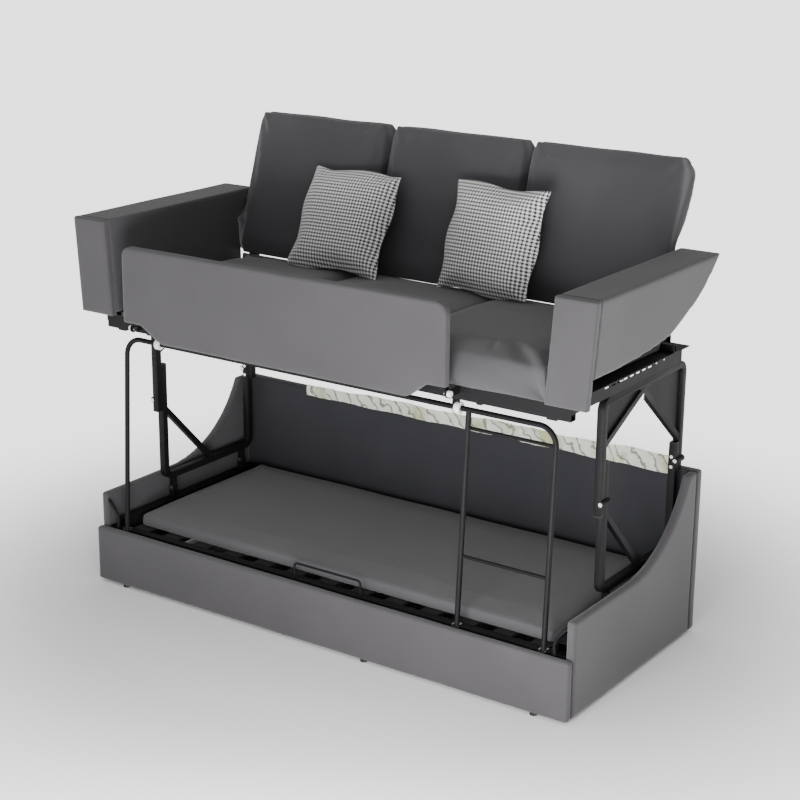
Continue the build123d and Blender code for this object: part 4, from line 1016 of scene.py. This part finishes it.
@dataclass(frozen=True)
class LoosePillow(Piece):
    """A square houndstooth cushion, blown up from a flat sewn cover and laid where its solid lies."""

    side: float = 0.396
    height: float = 0.388
    lean: float = 0.0
    turn: float = 0.0
    cells: int = 72
    pressure: float = 5.5
    cap: float = 0.075
    frames: int = 24
    rim: float = 0.011
    wavy: float = 0.006
    fill: float = 0.75
    thick: float = 0.116
    hold: float = 0.86
    seed: float = 0.0

    def cover(self) -> Object:
        """The flat cover: two faces sewn along their edges, with slightly wavy sides."""
        points, faces = [], []
        n = self.cells
        for face in (-1, 1):
            for j in range(n + 1):
                for i in range(n + 1):
                    u, v = i / n * 2 - 1, j / n * 2 - 1
                    rim = (1 - u * u) * (1 - v * v)
                    wave = self.wavy * math.sin(5 * v + self.seed) * abs(u) ** 3
                    droop = self.wavy * math.sin(4 * u + 2 * self.seed) * abs(v) ** 3
                    points.append((u * self.side / 2 + wave * math.copysign(1, u),
                                   face * self.rim * rim ** 0.3, v * self.height / 2 + droop))
        step = (n + 1) ** 2
        for quad in quads(n, n):
            faces += [quad, tuple(step + k for k in reversed(quad))]
        obj = mesh_from(self.node + "_soft", points, faces)
        work = bmesh.new()
        work.from_mesh(obj.data)
        bmesh.ops.remove_doubles(work, verts=work.verts, dist=1e-5)
        bmesh.ops.recalc_face_normals(work, faces=work.faces)
        work.to_mesh(obj.data)
        work.free()
        return obj

    def shape(self, solid: Object) -> Object:
        """Makes the pillow.

        Args:
            solid: The CAD node's object.

        Returns:
            The finished pillow's object.
        """
        obj = self.cover()
        flat = coords_of(obj)
        puffed(obj, self.pressure, self.cap, None, self.frames)
        places = coords_of(obj)
        places[:, [0, 2]] = flat[:, [0, 2]] * self.hold + places[:, [0, 2]] * (1 - self.hold)
        places -= (places.max(0) + places.min(0)) / 2
        places[:, 1] *= self.thick / (np.ptp(places[:, 1]) or 1.0)
        set_coords(obj, places)
        subdivided(obj)
        places = coords_of(obj)
        chart = obj.data.uv_layers.new(name="cloth")
        corner = np.empty(len(obj.data.loops), dtype=np.int32)
        obj.data.loops.foreach_get("vertex_index", corner)
        chart.data.foreach_set("uv", places[corner][:, [0, 2]].ravel())
        low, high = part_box(self.node)
        place = (Matrix.Translation((low + high) / 2) @ Matrix.Rotation(math.radians(self.turn), 4, "Z")
                 @ Matrix.Rotation(math.radians(-self.lean), 4, "X"))
        obj.data.transform(place)
        places = coords_of(obj)
        places[:, 2] += low.z - places[:, 2].min()
        set_coords(obj, places)
        shaded_smooth(obj, 80)
        return obj


@dataclass(frozen=True)
class CoveredBoard(Piece):
    """A board wrapped in thin foam and cloth: rounded rims and a barely crowned face."""

    voxel: float = 0.007
    ease: int = 3
    puff: float = 0.0012

    def shape(self, solid: Object) -> Object:
        """Makes the cover.

        Args:
            solid: The CAD node's object.

        Returns:
            The finished cover's object.
        """
        obj = remeshed(merged_copy(solid, self.node + "_cover"), self.voxel)
        low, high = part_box(self.node)
        smoothed(obj, self.ease)
        rippled(obj, self.puff * 0.5, 0.41, len(self.node))
        set_coords(obj, np.clip(coords_of(obj), np.array(low), np.array(high)))
        shaded_smooth(obj, 80)
        return obj


@dataclass(frozen=True)
class TickingStrip(Piece):
    """The gathered strip of thin cotton along the top of the lower bed's back."""

    gathers: int = 31
    steps: int = 12
    rows: int = 10
    fold: float = 0.0042
    flat_from: float = 0.70
    flat_share: float = 0.12
    droop: float = 0.022

    def shape(self, solid: Object) -> Object:
        """Makes the strip as one folded sheet.

        Args:
            solid: The CAD node's object.

        Returns:
            The finished strip's object.
        """
        low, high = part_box(self.node)
        columns = self.gathers * self.steps
        points = []
        for j in range(self.rows + 1):
            v = j / self.rows
            for i in range(columns + 1):
                u = i / columns
                x = low.x + (high.x - low.x) * u
                sag = self.droop * (1 - u) + 0.003 * math.sin(19 * u) + 0.002 * math.sin(53 * u + 1)
                z = low.z + (high.z - low.z - sag) * v + 0.002 * math.sin(41 * u + 3) * (1 - v)
                phase = 2 * math.pi * self.gathers * u + 1.4 * math.sin(9 * u + 2 * v) + 1.7 * v
                share = 1.0 if x < self.flat_from else self.flat_share
                depth = self.fold * (0.7 + 0.3 * math.sin(23 * u)) * share
                y = high.y - 0.0012 - depth * (0.55 + 0.45 * math.sin(phase)) - 0.001 * math.sin(math.pi * v)
                points.append((x, y, z))
        obj = mesh_from("ticking_strip", points, quads(self.rows, columns))
        shaded_smooth(obj, 80)
        return obj


@dataclass(frozen=True)
class TubeFrame(Piece):
    """A welded frame of square tube, with the small round that rolled tube has along its edges."""

    edge: float = 0.0022
    flat_angle: float = 1.0
    round_angle: float = 50.0

    def shape(self, solid: Object) -> Object:
        """Makes the rounded copy.

        Args:
            solid: The CAD node's object.

        Returns:
            The finished frame's object.
        """
        obj = merged_copy(solid, self.node + "_round")
        add_modifier(obj, "DECIMATE", decimate_type="DISSOLVE", angle_limit=math.radians(self.flat_angle))
        add_modifier(obj, "BEVEL", width=self.edge, segments=2, limit_method="ANGLE",
                     angle_limit=math.radians(self.round_angle), harden_normals=False, use_clamp_overlap=True)
        applied(obj)
        shaded_smooth(obj, 35)
        return obj


@dataclass(frozen=True)
class Lamp:
    """A soft square light: its place, what it points at, its side and its power in watts."""

    name: str
    place: Point
    aim: Point
    size: float
    power: float

    def add(self) -> None:
        """Puts the light into the scene."""
        data = bpy.data.lights.new(self.name, "AREA")
        data.size = self.size
        data.energy = self.power
        lamp = bpy.data.objects.new(self.name, data)
        lamp.location = self.place
        lamp.rotation_euler = (Vector(self.aim) - Vector(self.place)).to_track_quat("-Z", "Y").to_euler()
        bpy.context.scene.collection.objects.link(lamp)


@dataclass
class Studio:
    """The pale floor, the soft lights and the camera at the photograph's angle."""

    azimuth: float = 34.74
    elevation: float = 17.24
    roll: float = 0.45
    lens: float = 80.15
    place: Point = (3.41815, -4.86882, 2.61696)
    floor_half: float = 60.0
    # floor_glow is painted light from the floor; shade_near and shade_far bound the painted shade around the
    # sofa.
    floor_glow: float = 1.8
    shade_near: float = 1.0
    shade_far: float = 2.6
    room_low: float = 0.5
    room_high: float = 0.85
    lamps: tuple[Lamp, ...] = (Lamp("key", (1.2, -2.4, 0.36), (0.7, 0, 0.2), 1.3, 125.0),
                               Lamp("fill", (-2.6, -5.0, 1.8), (0, 0, 0.8), 2.6, 5.0))

    def camera(self) -> None:
        """Adds the camera."""
        turn, rise, lean = (math.radians(x) for x in (self.azimuth, self.elevation, self.roll))
        back = Vector((math.sin(turn) * math.cos(rise), -math.cos(turn) * math.cos(rise), math.sin(rise)))
        right = Vector((math.cos(turn), math.sin(turn), 0))
        up = back.cross(right)
        axis_x = right * math.cos(lean) + up * math.sin(lean)
        axis_y = up * math.cos(lean) - right * math.sin(lean)
        data = bpy.data.cameras.new("camera")
        data.lens = self.lens
        data.sensor_width = 36
        data.clip_end = 120
        camera = bpy.data.objects.new("camera", data)
        facing = Matrix((axis_x, axis_y, back)).transposed().to_4x4()
        camera.matrix_world = Matrix.Translation(Vector(self.place)) @ facing
        bpy.context.scene.collection.objects.link(camera)
        bpy.context.scene.camera = camera

    def build(self) -> None:
        """Sets the whole stage."""
        self.camera()
        far = self.floor_half
        corners = [(-far, -far, 0), (far, -far, 0), (far, far, 0), (-far, far, 0)]
        floor = mesh_from("floor", corners, [(0, 1, 2, 3)])
        put = MaterialWriter("glowing_floor_painted_shade")
        # The floor glows as painted light, lighting the sofa from below; the glow fades to nothing near the
        # sofa, a painted shadow around its feet.
        away = put.add("ShaderNodeVectorMath", {0: put.place}, operation="LENGTH").outputs[1]
        glow = put.add("ShaderNodeMapRange", {"Value": away, 1: self.shade_near, 2: self.shade_far, 3: 0.0,
                                              4: self.floor_glow}, interpolation_type="SMOOTHSTEP")
        floor.data.materials.append(put.finish(
            {"Base Color": (0.92, 0.92, 0.92, 1), "Roughness": 1.0, "Specular IOR Level": 0.0,
             "Emission Color": (1, 1, 1, 1), "Emission Strength": glow.outputs[0]}))
        world = bpy.data.worlds.new("soft_room")
        bpy.context.scene.world = world
        world.use_nodes = True
        put = NodeWriter(world.node_tree)
        way = put.add("ShaderNodeTexCoord").outputs["Generated"]
        rise = put.add("ShaderNodeSeparateXYZ", {0: way}).outputs[2]
        level = put.add("ShaderNodeMapRange", {"Value": rise, 1: 0.0, 2: 0.9, 3: self.room_low,
                                               4: self.room_high})
        room = put.add("ShaderNodeBackground", {0: (1, 1, 1, 1), 1: level.outputs[0]})
        put.add("ShaderNodeOutputWorld", {"Surface": room.outputs[0]})
        for lamp in self.lamps:
            lamp.add()


@dataclass
class Base:
    """The low covered base with its lower bed."""

    boards: tuple[str, ...] = ("base_front_board", "base_side_right", "base_side_left", "base_back_panel")
    lining: CoveredBoard = CoveredBoard("back_lining", Body.BASE, Slot.LINING, voxel=0.004, ease=1)
    mattress: Cushion = Cushion("lower_mattress", Body.BASE, Slot.SEAT, voxel=0.011, shrink=0.003, pressure=2.5,
                                cap=0.006, ripple=0.0012, ripple_length=0.5, seed=1.1, fill=0.8,
                                allow=(0.002, 0.002, 0.0))
    strip: TickingStrip = TickingStrip("lining_strip", Body.BASE, Slot.TICKING)

    def build(self, stock: Stock) -> None:
        """Makes and dresses the base's soft pieces."""
        for piece in [*(CoveredBoard(node, Body.BASE) for node in self.boards),
                      self.lining, self.mattress, self.strip]:
            piece.build(stock)


@dataclass
class EndFrames:
    """The four folding frames of square tube."""

    frames: tuple[tuple[str, Body], ...] = (
        ("left_lower_frame", Body.LEFT_LOWER), ("left_upper_frame", Body.LEFT_UPPER),
        ("right_lower_frame", Body.RIGHT_LOWER), ("right_upper_frame", Body.RIGHT_UPPER))

    def build(self, stock: Stock) -> None:
        """Makes and dresses the frames."""
        for node, body in self.frames:
            TubeFrame(node, body, Slot.STEEL).build(stock)


@dataclass
class Seat:
    """The seat with its cushions, arms and loose pillows."""

    seams: tuple[float, ...] = (-0.2847, 0.2996)
    fold: tuple[Point, ...] = ((0.647, -0.431, 1.043), (0.652, -0.431, 1.145), (0.649, -0.427, 1.150),
                               (0.603, -0.239, 1.150), (0.600, -0.111, 1.150), (0.634, -0.040, 1.150))
    shelf: tuple[float, float] = (0.2, 1.1415)
    back_spread: float = 0.026
    back_swell: float = 0.034
    stitch_offset: float = 0.009
    stitch_steps: int = 120
    stitch_front: float = 0.03
    stitch_free: float = 0.09
    thread_rise: float = 0.0002
    pillows: tuple[LoosePillow, ...] = (
        LoosePillow("throw_pillow_left", slot=Slot.CHECK, lean=27, turn=0, seed=0.4),
        LoosePillow("throw_pillow_right", slot=Slot.CHECK, lean=18, turn=-6, seed=1.9))

    def back(self, side: str, seed: float) -> Cushion:
        """One back cushion, creased at its lower corners.

        Args:
            side: Left, middle or right.
            seed: Moves its ripples.

        Returns:
            The cushion, not yet built.
        """
        node = f"back_cushion_{side}"
        low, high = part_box(node)
        left, right, front = low.x, high.x, low.y
        creases = (Crease((left + 0.02, front + 0.02, 1.17), (left + 0.11, front + 0.03, 1.21), 0.005, 0.01),
                   Crease((right - 0.13, front + 0.02, 1.18), (right - 0.03, front + 0.04, 1.25), 0.006, 0.012),
                   Crease((right - 0.16, front + 0.03, 1.2), (right - 0.1, front + 0.05, 1.27), 0.004, 0.01))
        spread = (self.back_spread if side == "left" else 0.0, self.back_spread if side == "right" else 0.0)
        return Cushion(node, slot=Slot.BACK, voxel=0.008, shrink=0.003, pressure=2.6, cap=0.009, keep_back=True,
                       creases=creases, ripple=0.0018, ripple_length=0.27, seed=seed, fill=0.7,
                       allow=(0.001, 0.008, 0.0), fitted=True, sink=0.0028, press=0.05,
                       swell=0.0 if side == "middle" else self.back_swell, spread=spread)

    def build(self, stock: Stock) -> None:
        """Makes and dresses the seat's soft pieces.

        Args:
            stock: The CAD nodes and the finishes.
        """
        creases = tuple(Crease(a, b, 0.006, 0.01) for a, b in zip(self.fold, self.fold[1:]))
        seat = Cushion("seat_cushion", slot=Slot.SEAT, voxel=0.0125, shrink=0.008, pressure=4.5, cap=0.02,
                       seams=self.seams, creases=creases, ripple=0.0018, ripple_length=0.33, seed=2.0,
                       allow=(0.0015, 0.004, 0.006), shelf=self.shelf).build(stock)
        backs = [self.back(side, 3.0 + i).build(stock) for i, side in enumerate(("left", "middle", "right"))]
        for pillow in self.pillows:
            laid = pillow.build(stock)
            for _ in range(2):
                cleared(rested(laid, seat), backs)
        self.sew(seat, stock.finishes)
        for side in ("right", "left"):
            CoveredBoard(f"arm_{side}", voxel=0.006, ease=2).build(stock)
            CoveredBoard(f"arm_front_board_{side}", voxel=0.004).build(stock)

    def sew(self, seat: Object, finishes: Finishes) -> None:
        """Lays a row of stitches on each side of the seat's two seams, both ends left free.

        Args:
            seat: The finished seat cushion.
            finishes: The sofa's finishes.
        """
        tree = surface_of(seat)
        low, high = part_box("seat_cushion")
        first = low.y + self.stitch_front
        lines = []
        for seam in self.seams:
            for side in (-self.stitch_offset, self.stitch_offset):
                line = []
                for step in range(self.stitch_steps + 1):
                    y = first + (high.y - self.stitch_free - low.y) * step / self.stitch_steps
                    hit, way = tree.ray_cast(Vector((seam + side, y, high.z + 0.1)), Vector((0, 0, -1)))[:2]
                    if hit is not None:
                        line.append(hit + way * self.thread_rise)
                lines.append(line)
        StitchRow(finishes.thread).lay("seat_stitches", lines, Body.SEAT, Slot.SEAT)


@dataclass
class Hardware:
    """The small bright screws near the top of the seat's end rails, each given by y and z."""

    screws: tuple[tuple[float, float], ...] = ((-0.093, 1.033), (0.139, 1.035), (0.193, 1.035))

    def build(self, stock: Stock) -> None:
        """Sets every screw.

        Args:
            stock: The CAD nodes and the finishes.
        """
        places = []
        for side, sign in (("right", 1), ("left", -1)):
            low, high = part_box(f"seat_end_rail_{side}")
            x = high.x if sign > 0 else low.x
            places += [(Vector((x, y, z)), Vector((sign, 0, 0))) for y, z in self.screws]
        ScrewField(stock.finishes[Slot.ZINC]).drive("end_rail_screws", places, Body.SEAT, Slot.ZINC)


@dataclass
class Guard:
    """The padded guard panel."""

    panel: CoveredBoard = CoveredBoard("guard_panel", Body.GUARD, voxel=0.005)

    def build(self, stock: Stock) -> None:
        """Makes and dresses the guard panel."""
        self.panel.build(stock)


def dress_nodes(nodes: dict, record: dict, finishes: Finishes) -> None:
    """Gives every CAD node that stays in view its material.

    Args:
        nodes: The CAD nodes by name.
        record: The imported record.
        finishes: The sofa's finishes.
    """
    slots = {row["node"]: Slot(row["material_slot"]) for row in record["subparts"]}
    for name, obj in nodes.items():
        obj.data.materials.clear()
        obj.data.materials.append(finishes[slots[name]])
    LOG.info("%d CAD nodes have their finish", len(nodes))


def main() -> None:
    """Builds every sub-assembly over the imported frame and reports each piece."""
    logging.basicConfig(level=logging.INFO, format="%(name)s %(message)s")
    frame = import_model()
    finishes = Finishes()
    nodes = frame["nodes"]
    dress_nodes(nodes, frame["record"], finishes)
    stock = Stock(nodes, finishes)
    for part in (Base(), EndFrames(), Seat(), Hardware(), Guard()):
        part.build(stock)
    Studio().build()


if __name__ == "__main__":
    main()
